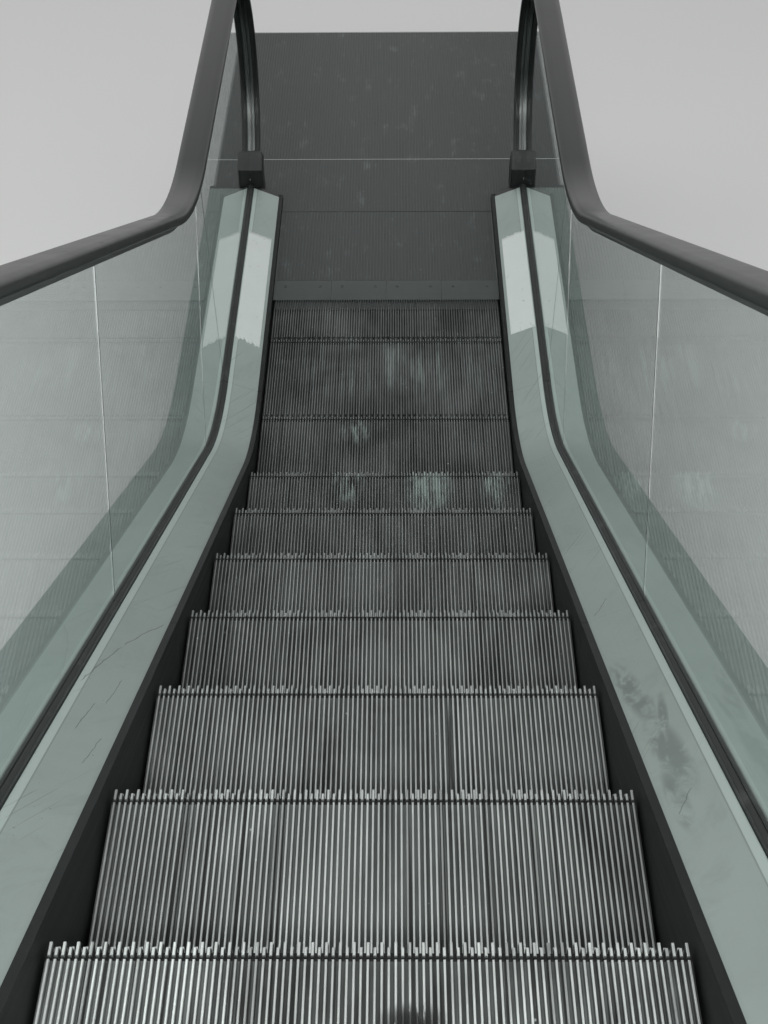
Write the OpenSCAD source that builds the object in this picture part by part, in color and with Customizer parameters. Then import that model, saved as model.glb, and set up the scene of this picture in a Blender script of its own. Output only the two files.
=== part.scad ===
/* [Layout] */
// Height from the lower landing to the upper landing
rise = 3000; // [2400:50:3600]
// Slope of the flight, in degrees
incline = 30; // [28:0.5:32]
// Radius of the step path where it leaves the lower landing
bend_r_low = 1000; // [900:10:1100]
// Radius of the step path where it reaches the upper landing
bend_r_up = 1500; // [1400:10:1600]
// From the lower comb to the corner of the flight
comb_run_low = 790; // [740:5:860]
// From the upper comb to the corner of the flight
comb_run_up = 1100; // [1000:5:1200]
// From a comb to the outer end of its landing
landing_len = 2040; // [1900:10:2300]
// Depth of the underside below the landings
pit_depth = 1040; // [980:10:1150]
// Depth of the underside below the step noses, square to the flight
truss_depth = 960; // [920:10:1050]

/* [Steps] */
// Distance from one step to the next along the chain
step_pitch = 404; // [402:0.5:408]
// Width of a step
step_w = 800; // [760:5:840]
// Gap between a tread and the riser behind it
step_gap = 6; // [5:0.5:8]
// Thickness of the tread
tread_t = 19; // [17:0.5:24]
// Spacing of the grooves along a tread, which stand for every third of the real ones
groove_pitch = 25.71; // [24:0.01:28]
// Width of a groove at its top
groove_w = 5.2; // [4.8:0.1:6]
// Depth of the grooves
groove_h = 11; // [10:0.5:12]
// Thickness of the riser plate
riser_t = 12; // [9:0.5:15]
// How far the riser turns down from the nose, in degrees
riser_turn = 33; // [32:0.5:34]
// Thickness of the brackets under a step
bracket_t = 8; // [6:0.5:10]
// Diameter of the step rollers
roller_d = 76; // [70:1:80]
// Width of the step rollers
roller_w = 24; // [20:1:28]
// Diameter of the step axles
axle_d = 24; // [20:1:28]
// Depth of the chain axle below its tread
axle_drop = 100; // [98:1:108]
// From the nose to the trailing axle of a step
trail_run = 110; // [100:1:120]
// Clearance between a roller and its track
roller_play = 0.3; // [0.2:0.1:0.6]

/* [Balustrade] */
// Gap between a step and the skirt
skirt_gap = 4; // [3:0.5:5]
// Thickness of the skirt panels
skirt_t = 4; // [3:0.5:6]
// Width of the turned top of the skirt
skirt_cap_w = 20; // [16:1:24]
// Height of the skirt top over the step noses, square to the flight
skirt_top = 26; // [25:1:34]
// Width of the inner deck
deck_w = 89; // [80:1:100]
// Slope of the inner deck across the flight, in degrees
deck_slope = 23.5; // [18:0.5:26]
// Thickness of the deck sheets
deck_t = 3; // [2.5:0.5:4]
// Depth of the turned edges of the decks
deck_lip = 22; // [16:1:26]
// Thickness of the glass
glass_t = 10; // [8:0.5:12]
// Width of the clamp on each side of the glass
clamp_w = 12; // [10:0.5:14]
// How far the glass stands down in the clamp
glass_seat = 80; // [70:1:90]
// Thickness of the setting blocks under the glass
glass_bed = 0.7; // [0.6:0.1:1]
// Clearance on each side of the glass in its clamp and in the handrail guide
glass_play = 0.3; // [0.2:0.1:0.4]
// Joint between two lengths of deck, skirt or panel
length_joint = 1.5; // [1:0.5:3]
// Joint between two sheets of glass
glass_joint = 4; // [3:0.5:6]
// Width of the outer deck
outer_deck_w = 146; // [130:1:170]
// Height of the handrail over the landings
rail_h = 930; // [900:5:980]
// Height of the handrail over the step noses, measured plumb
rail_h_flight = 900; // [880:5:940]
// Radius of the handrail's bend at the foot of the flight
rail_bend_low = 900; // [800:10:1000]
// Radius of the handrail's bend at the head of the flight
rail_bend_up = 1900; // [1800:10:2000]
// Outer radius of the handrail at the newels
newel_r = 450; // [435:5:460]
// From a comb to the centre of its newel
newel_run = 470; // [455:5:485]
// How far the handrail turns round a newel before it ends in its inlet, in degrees
newel_turn = 152; // [149:1:154]
// From a comb to the end of the decks
deck_run = 650; // [620:5:680]
// Width of the handrail
rail_w = 80; // [76:1:84]
// Height of the handrail
rail_t = 28; // [26:1:31]
// Wall of the handrail over its guide
rail_wall = 10; // [9:0.5:11]
// How much of that turn lies inside the inlet, in degrees
inlet_turn = 12; // [9:1:15]
// Clearance between a handrail and its inlet
inlet_play = 3; // [2:0.5:4]

/* [Landings] */
// Length of a comb plate
comb_plate_len = 554; // [530:2:580]
// Length of the floor plate beside the newels
floor_plate_len = 376; // [350:2:400]
// Height of the floor plates over the treads
plate_lift = 12; // [10:0.5:14]
// Thickness of the floor plates
plate_t = 26; // [22:1:30]
// Thickness of the comb plate over the steps
comb_plate_t = 9; // [7:0.5:10]
// Joint between the plates
plate_joint = 3; // [2:0.5:5]
// Length of the body of a comb
comb_len = 110; // [100:2:130]
// Length of the comb's teeth
tooth_len = 46; // [40:1:60]
// Width of a comb tooth at its root
tooth_w = 2.5; // [2:0.1:2.7]
// How deep the teeth stand in the grooves of the treads
tooth_sink = 4.2; // [3.5:0.1:4.5]
// Depth of the frame under the floor plates
frame_d = 60; // [50:1:70]
// Thickness of the side, end and underside panels
clad_t = 5; // [4:0.5:8]
// Width of a truss member
member_w = 60; // [50:1:70]
// Length of the bearing flanges at the ends of the truss
bearing_len = 150; // [130:5:180]
// Thickness of the bearing angles
bearing_t = 16; // [12:1:20]
// Depth of the bearing faces below the floor plates
bearing_drop = 160; // [140:5:190]

/* [Hidden] */

sin_i = sin(incline);
cos_i = cos(incline);
tan_i = tan(incline);
tread_d = step_pitch - step_gap;
top_y = rise / tan_i;
comb_y_low = -comb_run_low;
comb_y_up = top_y + comb_run_up;
end_y_low = comb_y_low - landing_len;
end_y_up = comb_y_up + landing_len;
newel_y_low = comb_y_low - newel_run;
newel_y_up = comb_y_up + newel_run;
deck_y_low = comb_y_low - deck_run;
deck_y_up = comb_y_up + deck_run;
// Sideways places, from the middle of the steps outwards
skirt_x = step_w / 2 + skirt_gap;
deck_x = skirt_x + skirt_cap_w;
clamp_x = deck_x + deck_w;
glass_x = clamp_x + clamp_w;
rail_x = glass_x + glass_t / 2;
outer_x = glass_x + glass_t + clamp_w;
side_x = outer_x + outer_deck_w;
// Heights over the step path, square to it
deck_top = skirt_top + deck_w * tan(deck_slope);
clamp_top = deck_top + 5;
glass_foot = clamp_top - glass_seat;
clamp_foot = glass_foot - 12;
// The bearing face is the middle of the flat underside of the lower bearing flange
origin_y = end_y_low - bearing_len / 2;
origin_z = plate_lift - bearing_drop;
plate_foot = plate_lift - plate_t;
frame_foot = plate_foot - frame_d;
roller_r = roller_d / 2;
track_t = 6;
track_lip = 3;
chain_axle = [tread_d - 8, -axle_drop];
trail_axle = [trail_run, -axle_drop - (tread_d - 8 - trail_run) * tan_i];
chain_x = skirt_x + skirt_t + 8;
trail_x = step_w / 2 - 78;
// The skirt's lower edge keeps this far from the step path, clear of the chain axles
skirt_foot = [tread_d - 60, -axle_drop + 26];
upright_x = side_x - clad_t - member_w;
// Width of the rim round the floor plates
rim = 8;
// How far a comb plate rests on its beam
plate_rest = 20;
// Chords along a bend
arc_steps = 12;
wide = 4 * side_x;
deep = 2600;

function heading(a, b) = atan2(b[1] - a[1], b[0] - a[0]);
function left_of(h) = [-sin(h), cos(h)];
function cut_back(p, i) =
    (i == 0 || i == len(p) - 1) ? 0
    : p[i][2] * tan(abs(heading(p[i], p[i + 1]) - heading(p[i - 1], p[i])) / 2);
// A line along the escalator: two landings and the flight between them, as [y, z, bend radius]
function rail_path(low, flight, up, y_low, y_up, r_low, r_up) = [
    [y_low, low, 0],
    [(low - flight) / tan_i, low, r_low],
    [(rise + up - flight) / tan_i, rise + up, r_up],
    [y_up, rise + up, 0]
];
// The same line at a constant distance d from the path of the step noses
function step_path(d, y_low, y_up) =
    rail_path(d, d / cos_i, d, y_low, y_up, bend_r_low - d, bend_r_up + d);
function moved(p, by) = [for (v = p) [v[0] + by[0], v[1] + by[1], v[2]]];
// Points along such a line, with its bends as short chords
function path_points(p) = [
    for (i = [0:len(p) - 1])
        let (t = cut_back(p, i))
        each (t == 0) ? [[p[i][0], p[i][1]]]
        : let (
            h0 = heading(p[i - 1], p[i]),
            h1 = heading(p[i], p[i + 1]),
            s = sign(h1 - h0),
            r = p[i][2],
            a = [p[i][0], p[i][1]] - t * [cos(h0), sin(h0)],
            c = a + s * r * left_of(h0)
        )
        [for (k = [0:arc_steps]) c - s * r * left_of(h0 + (h1 - h0) * k / arc_steps)]
];
function reversed(v) = [for (i = [len(v) - 1:-1:0]) v[i]];

// Where the nose of a step is, a distance s along its path from the foot of the lower bend
s_flight = bend_r_low * incline * PI / 180;
bend_in_low = bend_r_low * tan(incline / 2);
bend_in_up = bend_r_up * tan(incline / 2);
s_top = s_flight + rise / sin_i - bend_in_low - bend_in_up;
s_up = s_top + bend_r_up * incline * PI / 180;
function slope_at(s) =
    s <= 0 ? 0
    : s < s_flight ? s / bend_r_low * 180 / PI
    : s < s_top ? incline
    : s < s_up ? (s_up - s) / bend_r_up * 180 / PI
    : 0;
function nose_at(s) =
    let (h = slope_at(s))
    s <= 0 ? [s - bend_in_low, 0]
    : s < s_flight ? [-bend_in_low + bend_r_low * sin(h), bend_r_low * (1 - cos(h))]
    : s < s_top ? (bend_in_low + s - s_flight) * [cos_i, sin_i]
    : s < s_up ? [top_y + bend_in_up - bend_r_up * sin(h), rise - bend_r_up * (1 - cos(h))]
    : [top_y + bend_in_up + s - s_up, rise];
// The lowest and the highest step each lie half under a comb plate
s_first = bend_in_low - comb_run_low - step_pitch * 0.48;
s_last = s_up + comb_run_up - bend_in_up + 60;
step_count = floor((s_last - s_first) / step_pitch) + 1;
// As many grooves run side by side as fit on a step
groove_count = 2 * floor((step_w / 2 - groove_w) / groove_pitch) + 1;
function groove_x(i) = (i - (groove_count - 1) / 2) * groove_pitch;
// The balustrade is made in lengths, with a joint at each end of both bends and three in the flight
flight_lengths = 4;
joints = concat(
    [0],
    [for (k = [0:flight_lengths]) s_flight + (s_top - s_flight) * k / flight_lengths],
    [s_up]
);

// Sweeps a section, x sideways and y square to the line, along the line
module sweep(p) {
    for (i = [0:len(p) - 2]) {
        h = heading(p[i], p[i + 1]);
        back = cut_back(p, i + 1);
        run = norm([p[i + 1][0] - p[i][0], p[i + 1][1] - p[i][1]]) - back - cut_back(p, i);
        translate([0, p[i + 1][0] - back * cos(h), p[i + 1][1] - back * sin(h)])
            rotate([90 + h, 0, 0])
                linear_extrude(run)
                    children();
    }
    for (i = [1:len(p) - 2]) {
        h0 = heading(p[i - 1], p[i]);
        h1 = heading(p[i], p[i + 1]);
        s = sign(h1 - h0);
        r = p[i][2];
        c = [p[i][0], p[i][1]] - cut_back(p, i) * [cos(h0), sin(h0)] + s * r * left_of(h0);
        multmatrix([
            [0, 0, s, 0],
            [s * sin(h0), cos(h0), 0, c[0]],
            [-s * cos(h0), sin(h0), 0, c[1]],
            [0, 0, 0, 1]
        ])
            rotate_extrude(angle = abs(h1 - h0), $fn = 72)
                translate([r, 0])
                    rotate(s * 90)
                        children();
    }
}

// A plate standing along the flight, x0 to x1 across, with its outline as [y, z] points
module upright_plate(x0, x1) {
    translate([x0, 0, 0])
        rotate([90, 0, 90])
            linear_extrude(x1 - x0)
                children();
}

module between(lower, upper) {
    polygon(concat(path_points(lower), reversed(path_points(upper))));
}

// Cuts what it is given into lengths, square to the step path
module in_lengths(places, gap) {
    difference() {
        children();
        for (s = places)
            translate([0, nose_at(s)[0], nose_at(s)[1]])
                rotate([slope_at(s), 0, 0])
                    cube([wide, gap, deep], center = true);
    }
}

module left_side() {
    mirror([1, 0, 0]) children();
}

module both_sides() {
    children();
    left_side() children();
}

// Everything is built about the corner of the flight, and stands on the lower bearing face
module seated() {
    translate([0, -origin_y, -origin_z]) children();
}

// The riser is an arc about the rear edge of its own tread, so the tread below follows it
function riser_point(r, a) = [tread_d - r * cos(a), -r * sin(a)];

module step_bracket() {
    edge = 14;
    upright_plate(0, bracket_t)
        polygon(concat(
            [for (a = [2:5:riser_turn]) riser_point(tread_d - riser_t + 2, a)],
            [
                trail_axle + [-20, -12],
                trail_axle + [0, -22],
                trail_axle + [22, -8],
                chain_axle + [-12, -18],
                chain_axle + [6, -18],
                chain_axle + [6, 10],
                [tread_d - edge, -tread_t],
                [tread_d - edge, -edge]
            ]
        ));
}

module cross_bar(at, d, x0, x1) {
    translate([x0, at[0], at[1]])
        rotate([0, 90, 0])
            cylinder(d = d, h = x1 - x0, $fn = 24);
}

// Across a tread: a plate with grooves for the teeth of the combs
module tread_section() {
    polygon(concat(
        [[-step_w / 2, -tread_t], [-step_w / 2, 0]],
        [for (i = [0:groove_count - 1]) each [
            [groove_x(i) - groove_w / 2, 0], [groove_x(i), -groove_h], [groove_x(i) + groove_w / 2, 0]
        ]],
        [[step_w / 2, 0], [step_w / 2, -tread_t]]
    ));
}

// One step, with its nose at the origin and its tread running towards +y. The riser hangs from
// the plate of the tread, below the grooves.
module escalator_step() {
    bracket_x = step_w / 2 - 30;
    riser_start = asin((groove_h + 1) / tread_d);
    translate([0, tread_d, 0])
        rotate([90, 0, 0])
            linear_extrude(tread_d)
                tread_section();
    multmatrix([[0, 0, 1, 0], [-1, 0, 0, tread_d], [0, -1, 0, 0], [0, 0, 0, 1]])
        rotate(riser_start)
            rotate_extrude(angle = riser_turn - riser_start, $fn = 72)
                translate([tread_d - riser_t, -step_w / 2])
                    square([riser_t, step_w]);
    both_sides() {
        translate([bracket_x, 0, 0]) step_bracket();
        cross_bar(trail_axle, axle_d, trail_x + 4, bracket_x + 2);
        cross_bar(trail_axle, roller_d, trail_x, trail_x + roller_w);
        cross_bar(chain_axle, roller_d, chain_x, chain_x + roller_w);
    }
    cross_bar(chain_axle, axle_d, -chain_x - 4, chain_x + 4);
}

module steps(from, to) {
    color("dimgray")
        for (i = [from:to])
            let (p = nose_at(s_first + i * step_pitch))
            translate([0, p[0], p[1]])
                escalator_step();
}

low_steps = 4;
up_steps = 4;
mid_step = floor((step_count + low_steps - up_steps) / 2);

module steps_lower_landing() {
    steps(0, low_steps - 1);
}

module steps_flight_lower() {
    steps(low_steps, mid_step - 1);
}

module steps_flight_upper() {
    steps(mid_step, step_count - up_steps - 1);
}

module steps_upper_landing() {
    steps(step_count - up_steps, step_count - 1);
}

// A comb from above: its body, and a tapered tooth for each groove of the treads
module comb_plan() {
    half = skirt_x - 1;
    root = tooth_w / 2;
    tip = root * 0.6;
    polygon(concat(
        [[-half, -comb_len], [-half, 0]],
        [for (i = [0:groove_count - 1]) each [
            [groove_x(i) - root, 0], [groove_x(i) - tip, tooth_len],
            [groove_x(i) + tip, tooth_len], [groove_x(i) + root, 0]
        ]],
        [[half, 0], [half, -comb_len]]
    ));
}

// A comb from the side: the body lies over the treads, and the teeth stand in their grooves
module comb_side() {
    over = 1;
    polygon([
        [-comb_len, plate_lift],
        [-comb_len * 0.3, plate_lift],
        [tooth_len - 4, 1.5],
        [tooth_len, -tooth_sink / 2],
        [tooth_len - 8, -tooth_sink],
        [over, -tooth_sink],
        [over, over],
        [-comb_len, over]
    ]);
}

// The comb, with its root line at the origin and its body running towards -y
module comb() {
    color("silver")
        intersection() {
            upright_plate(-skirt_x, skirt_x) comb_side();
            translate([0, 0, -plate_lift]) linear_extrude(3 * plate_lift) comb_plan();
        }
}

module comb_lower() {
    translate([0, comb_y_low, 0]) comb();
}

module comb_upper() {
    translate([0, comb_y_up, rise]) mirror([0, 1, 0]) comb();
}

// The comb plate is thin over the steps, and thicker where the floor frame carries it
module comb_plate() {
    thin = comb_plate_len - comb_len - plate_rest;
    color("#33383a")
        upright_plate(-skirt_x + 1, skirt_x - 1)
            polygon([
                [-comb_plate_len, plate_lift],
                [-comb_len, plate_lift],
                [-comb_len, plate_lift - comb_plate_t],
                [-comb_len - thin, plate_lift - comb_plate_t],
                [-comb_len - thin, plate_foot],
                [-comb_plate_len, plate_foot]
            ]);
}

module comb_plate_lower() {
    translate([0, comb_y_low, 0]) comb_plate();
}

module comb_plate_upper() {
    translate([0, comb_y_up, rise]) mirror([0, 1, 0]) comb_plate();
}

// Two floor plates: one fits round the ends of the decks, the other closes the landing
module floor_plates() {
    first = -comb_plate_len - plate_joint;
    second = first - floor_plate_len;
    ends = -deck_run - deck_t - 1;
    color("#33383a")
        translate([0, 0, plate_foot])
            linear_extrude(plate_t) {
                polygon([
                    [-skirt_x + 1, first], [skirt_x - 1, first],
                    [skirt_x - 1, ends], [side_x - rim, ends],
                    [side_x - rim, second], [-side_x + rim, second],
                    [-side_x + rim, ends], [-skirt_x + 1, ends]
                ]);
                translate([-side_x + rim, -landing_len + rim])
                    square([2 * (side_x - rim), landing_len - rim + second - plate_joint]);
            }
}

module floor_plates_lower() {
    translate([0, comb_y_low, 0]) floor_plates();
}

module floor_plates_upper() {
    translate([0, comb_y_up, rise]) mirror([0, 1, 0]) floor_plates();
}

// The frame carries the plates on ledges and has a rim beside them. A beam under the comb plate
// passes below the skirts, and has a pad between them.
module floor_frame() {
    ledge = 48;
    beam_w = 76;
    front = -deck_run - deck_t;
    color("dimgray") {
        difference() {
            translate([-side_x, -landing_len, frame_foot])
                cube([2 * side_x, landing_len + front, frame_d + plate_t]);
            translate([-side_x + rim, -landing_len + rim, plate_foot])
                cube([2 * (side_x - rim), landing_len, plate_t + 1]);
            translate([-side_x + ledge, -landing_len + ledge, frame_foot - 1])
                cube([2 * (side_x - ledge), landing_len + front - 2 * ledge, frame_d + 2]);
        }
        translate([-side_x + ledge - 1, -comb_plate_len - floor_plate_len - beam_w / 2, frame_foot])
            cube([2 * (side_x - ledge + 1), beam_w, frame_d]);
        translate([0, -comb_plate_len - beam_w + plate_rest, 0]) {
            translate([-upright_x, 0, frame_foot - frame_d])
                cube([2 * upright_x, beam_w, frame_d]);
            translate([-skirt_x + 1, 0, frame_foot - 1])
                cube([2 * (skirt_x - 1), beam_w, frame_d + 1]);
        }
    }
}

module floor_frame_lower() {
    translate([0, comb_y_low, 0]) floor_frame();
}

module floor_frame_upper() {
    translate([0, comb_y_up, rise]) mirror([0, 1, 0]) floor_frame();
}

// The skirt stands beside the steps, and its turned top carries the edge of the inner deck
module skirt() {
    color("#181c1d")
        in_lengths(joints, length_joint) {
            upright_plate(skirt_x, skirt_x + skirt_t)
                between(
                    moved(step_path(0, deck_y_low - skirt_foot[0], deck_y_up - skirt_foot[0]), skirt_foot),
                    step_path(skirt_top - skirt_t / 2, deck_y_low, deck_y_up)
                );
            sweep(step_path(0, deck_y_low, deck_y_up))
                translate([skirt_x, skirt_top - skirt_t])
                    square([skirt_cap_w, skirt_t]);
        }
}

module skirt_right() {
    skirt();
}

module skirt_left() {
    left_side() skirt();
}

module inner_deck_section() {
    under = deck_t * (1 / cos(deck_slope) + tan(deck_slope));
    polygon([
        [deck_x - 6, skirt_top],
        [deck_x, skirt_top + deck_t],
        [clamp_x, deck_top + deck_t],
        [clamp_x, deck_top - deck_lip],
        [clamp_x - deck_t, deck_top - deck_lip],
        [clamp_x - deck_t, deck_top + deck_t - under],
        [deck_x, skirt_top]
    ]);
}

module inner_deck() {
    color("#8f9a94")
        in_lengths(joints, length_joint)
            sweep(step_path(0, deck_y_low, deck_y_up))
                inner_deck_section();
}

module inner_deck_right() {
    inner_deck();
}

module inner_deck_left() {
    left_side() inner_deck();
}

module clamp_section() {
    difference() {
        translate([clamp_x, clamp_foot])
            square([outer_x - clamp_x, clamp_top - clamp_foot]);
        translate([glass_x - glass_play, glass_foot])
            square([glass_t + 2 * glass_play, clamp_top - glass_foot + 1]);
    }
}

module glass_clamp() {
    color("#202322")
        in_lengths(joints, length_joint)
            sweep(step_path(0, deck_y_low, deck_y_up))
                clamp_section();
}

module glass_clamp_right() {
    glass_clamp();
}

module glass_clamp_left() {
    left_side() glass_clamp();
}

module outer_deck_section() {
    top = clamp_top - 4;
    foot = top - 2 * deck_lip;
    polygon([
        [outer_x, top], [side_x - 2, top], [side_x, top - 2], [side_x, foot], [side_x - deck_t, foot],
        [side_x - deck_t, top - deck_t], [outer_x + deck_t, top - deck_t],
        [outer_x + deck_t, top - deck_lip], [outer_x, top - deck_lip]
    ]);
}

module outer_deck() {
    color("#8f9a94")
        in_lengths(joints, length_joint)
            sweep(step_path(0, deck_y_low, deck_y_up))
                outer_deck_section();
}

module outer_deck_right() {
    outer_deck();
}

module outer_deck_left() {
    left_side() outer_deck();
}

// Heights in the handrail, below its top surface
slot_top = rail_wall;
slot_foot = rail_wall + 8;
glass_drop = slot_foot + 8;
guide_foot = glass_drop + 20;
slot_w = rail_w - 26;
mouth_w = rail_w - 42;

// The line of the handrail's top, lowered by a distance square to it
function top_line(down) =
    rail_path(
        rail_h - down, rail_h_flight - down / cos_i, rail_h - down,
        newel_y_low, newel_y_up,
        rail_bend_low + down, rail_bend_up - down
    );

// The glass from newel to newel, seen from the side
module glass_area() {
    between(
        step_path(glass_foot + glass_bed, newel_y_low, newel_y_up),
        top_line(glass_drop + glass_bed)
    );
}

module flight_glass() {
    color("lightcyan", 0.35)
        intersection() {
            in_lengths(joints, glass_joint)
                upright_plate(glass_x, glass_x + glass_t) glass_area();
            translate([0, nose_at(joints[0])[0], -deep])
                cube([wide, nose_at(joints[len(joints) - 1])[0] - nose_at(joints[0])[0], rise + 2 * deep]);
        }
}

module glass_right() {
    flight_glass();
}

module glass_left() {
    left_side() flight_glass();
}

// The rounded end of the glass about the centre of a newel, which stands in the clamp up to the
// end of the decks
module newel_area() {
    r = newel_r - glass_drop - glass_bed;
    foot = newel_r - rail_h + glass_foot + glass_bed;
    y_end = newel_run - deck_run + glass_joint;
    intersection() {
        circle(r, $fn = 72);
        translate([-2 * r, -r]) square([2 * r, 2 * r]);
    }
    polygon([[y_end, foot], [0, foot], [0, 0], [y_end, 0]]);
}

// The glass between two places along the escalator
module glass_between(y0, y1) {
    intersection() {
        glass_area();
        translate([y0, -deep]) square([y1 - y0, rise + 2 * deep]);
    }
}

module newel_glass_lower() {
    color("lightcyan", 0.35)
        both_sides()
            upright_plate(glass_x, glass_x + glass_t)
                union() {
                    translate([newel_y_low, rail_h - newel_r]) newel_area();
                    glass_between(newel_y_low, nose_at(joints[0])[0] - glass_joint / 2);
                }
}

module newel_glass_upper() {
    color("lightcyan", 0.35)
        both_sides()
            upright_plate(glass_x, glass_x + glass_t)
                union() {
                    translate([newel_y_up, rise + rail_h - newel_r]) mirror([1, 0]) newel_area();
                    glass_between(nose_at(joints[len(joints) - 1])[0] + glass_joint / 2, newel_y_up);
                }
}

// Carries a section round a newel, from its top outwards and down
module round_newel(turn) {
    multmatrix([[0, 0, 1, 0], [1, 0, 0, 0], [0, 1, 0, 0], [0, 0, 0, 1]])
        rotate(90)
            rotate_extrude(angle = turn, $fn = 72)
                translate([newel_r, 0])
                    rotate(-90)
                        mirror([1, 0])
                            children();
}

// The rail's section runs the whole way: the flight, and round both newels
module along_handrail(turn) {
    sweep(top_line(0)) translate([rail_x, 0]) children();
    translate([0, newel_y_low, rail_h - newel_r])
        round_newel(turn) translate([rail_x, 0]) children();
    translate([0, newel_y_up, rise + rail_h - newel_r])
        mirror([0, 1, 0])
            round_newel(turn) translate([rail_x, 0]) children();
}

module guide_section() {
    lip = (slot_w - 2) / 2;
    groove = glass_t / 2 + glass_play;
    leg = groove + 2.7;
    polygon([
        [-lip, -slot_top - 0.3], [lip, -slot_top - 0.3], [lip, -slot_foot + 2], [leg, -slot_foot + 2],
        [leg, -guide_foot], [groove, -guide_foot], [groove, -glass_drop],
        [-groove, -glass_drop], [-groove, -guide_foot], [-leg, -guide_foot],
        [-leg, -slot_foot + 2], [-lip, -slot_foot + 2]
    ]);
}

module handrail_guide() {
    color("silver") along_handrail(newel_turn - inlet_turn / 2) guide_section();
}

module handrail_guide_right() {
    handrail_guide();
}

module handrail_guide_left() {
    left_side() handrail_guide();
}

module handrail_section() {
    soft = 8;
    w = rail_w / 2;
    difference() {
        polygon([
            [-w + soft, 0], [w - soft, 0], [w - 2, -3], [w, -soft], [w, -rail_t + soft], [w - 3, -rail_t + 2],
            [w - soft, -rail_t], [-w + soft, -rail_t], [-w + 3, -rail_t + 2], [-w, -rail_t + soft],
            [-w, -soft], [-w + 2, -3]
        ]);
        translate([-slot_w / 2, -slot_foot]) square([slot_w, slot_foot - slot_top]);
        translate([-mouth_w / 2, -rail_t - 1]) square([mouth_w, rail_t + 1 - slot_top]);
    }
}

module handrail() {
    color("#101112") along_handrail(newel_turn) handrail_section();
}

module handrail_right() {
    handrail();
}

module handrail_left() {
    left_side() handrail();
}

// A place on a circle round the centre of a newel, with the angle from its top outwards
function newel_point(r, a) = [-r * sin(a), r * cos(a)];

// The side of an inlet: it stands on the floor plate against the end of the decks, and its mouth is
// square to the handrail
module inlet_side() {
    mouth = newel_turn - inlet_turn;
    r_in = newel_r - guide_foot - 12;
    r_out = newel_r + 14;
    back = newel_run - deck_run - deck_t - 0.3;
    foot = newel_r - rail_h + plate_lift + 0.3;
    top_end = 180 - asin(-back / r_in);
    polygon(concat(
        [for (k = [0:4]) newel_point(r_in, mouth + (top_end - mouth) * k / 4)],
        [[back, foot], newel_point(r_out, mouth) + [22, 0] + [0, foot - newel_point(r_out, mouth)[1]]],
        [newel_point(r_out, mouth + 5), newel_point(r_out, mouth)]
    ));
}

// Cuts a ring out of an inlet, between two radii and two angles about the newel's centre
module newel_ring(r0, r1, a0, a1, half_w) {
    multmatrix([[0, 0, 1, rail_x], [1, 0, 0, 0], [0, 1, 0, 0], [0, 0, 0, 1]])
        rotate(90 + a0)
            rotate_extrude(angle = a1 - a0, $fn = 72)
                translate([r0, -half_w])
                    square([r1 - r0, 2 * half_w]);
}

// The handrail ends in a moulded inlet at the end of the decks, in line with the glass
module handrail_inlet() {
    half = rail_w / 2 + 12;
    mouth = newel_turn - inlet_turn;
    nose = newel_point(newel_r + 14, mouth)[0];
    back = newel_run - deck_run;
    soft = 12;
    color("#1a1b1c")
        both_sides()
            difference() {
                intersection() {
                    upright_plate(rail_x - half, rail_x + half) inlet_side();
                    translate([rail_x, 0, -newel_r - 100])
                        linear_extrude(newel_r)
                            polygon([
                                [-half, back], [-half, nose + 2 * soft], [-half + soft, nose - 1],
                                [half - soft, nose - 1], [half, nose + 2 * soft], [half, back]
                            ]);
                }
                newel_ring(
                    newel_r - rail_t - inlet_play, newel_r + inlet_play,
                    mouth - 5, newel_turn + 1, rail_w / 2 + inlet_play
                );
                newel_ring(newel_r - 3 * guide_foot, newel_r - glass_drop + 4, mouth - 5, 170, glass_t / 2 + 4);
            }
}

module handrail_inlets_lower() {
    translate([0, newel_y_low, rail_h - newel_r]) handrail_inlet();
}

module handrail_inlets_upper() {
    translate([0, newel_y_up, rise + rail_h - newel_r]) mirror([0, 1, 0]) handrail_inlet();
}

// The underside of the whole machine, raised by a distance up
function underside(up) =
    rail_path(
        -pit_depth + up, (-truss_depth + up) / cos_i, -pit_depth + up,
        end_y_low, end_y_up, 0, 0
    );

// The outline of the sides, from the underside to the outer decks and the floor frames
module side_outline(up, trim) {
    deck_foot = clamp_top - 4 - deck_lip * 2;
    polygon(concat(
        [[end_y_low, frame_foot - trim]],
        path_points(underside(up)),
        [
            [end_y_up, rise + frame_foot - trim],
            [deck_y_up, rise + frame_foot - trim]
        ],
        reversed(path_points(step_path(deck_foot - trim, deck_y_low, deck_y_up))),
        [[deck_y_low, frame_foot - trim]]
    ));
}

module side_panels() {
    color("#9aa19d")
        in_lengths(joints, length_joint)
            upright_plate(side_x - clad_t, side_x)
                side_outline(0, 0);
}

module side_panels_right() {
    side_panels();
}

module side_panels_left() {
    left_side() side_panels();
}

module underside_panels() {
    color("#9aa19d")
        in_lengths(joints, length_joint)
            upright_plate(-side_x + clad_t, side_x - clad_t)
                between(underside(0), underside(clad_t));
}

module end_wall() {
    color("#9aa19d")
        translate([-side_x + clad_t, 0, -pit_depth + clad_t])
            cube([2 * (side_x - clad_t), clad_t, pit_depth - clad_t + frame_foot]);
}

module end_wall_lower() {
    translate([0, end_y_low, 0]) end_wall();
}

module end_wall_upper() {
    translate([0, end_y_up, rise]) mirror([0, 1, 0]) end_wall();
}

// A bearing angle: one leg bolted to the end of the truss, the other resting on the building
module bearing_angle() {
    leg = bearing_len * 0.8;
    color("dimgray")
        upright_plate(-side_x, side_x)
            polygon([
                [-bearing_len, 0], [-bearing_len, bearing_t], [0, bearing_t], [0, -leg],
                [-bearing_t, -leg], [-bearing_t, 0]
            ]);
}

module bearing_angle_lower() {
    translate([0, end_y_low, origin_z]) bearing_angle();
}

module bearing_angle_upper() {
    translate([0, end_y_up, rise + origin_z]) mirror([0, 1, 0]) bearing_angle();
}

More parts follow.
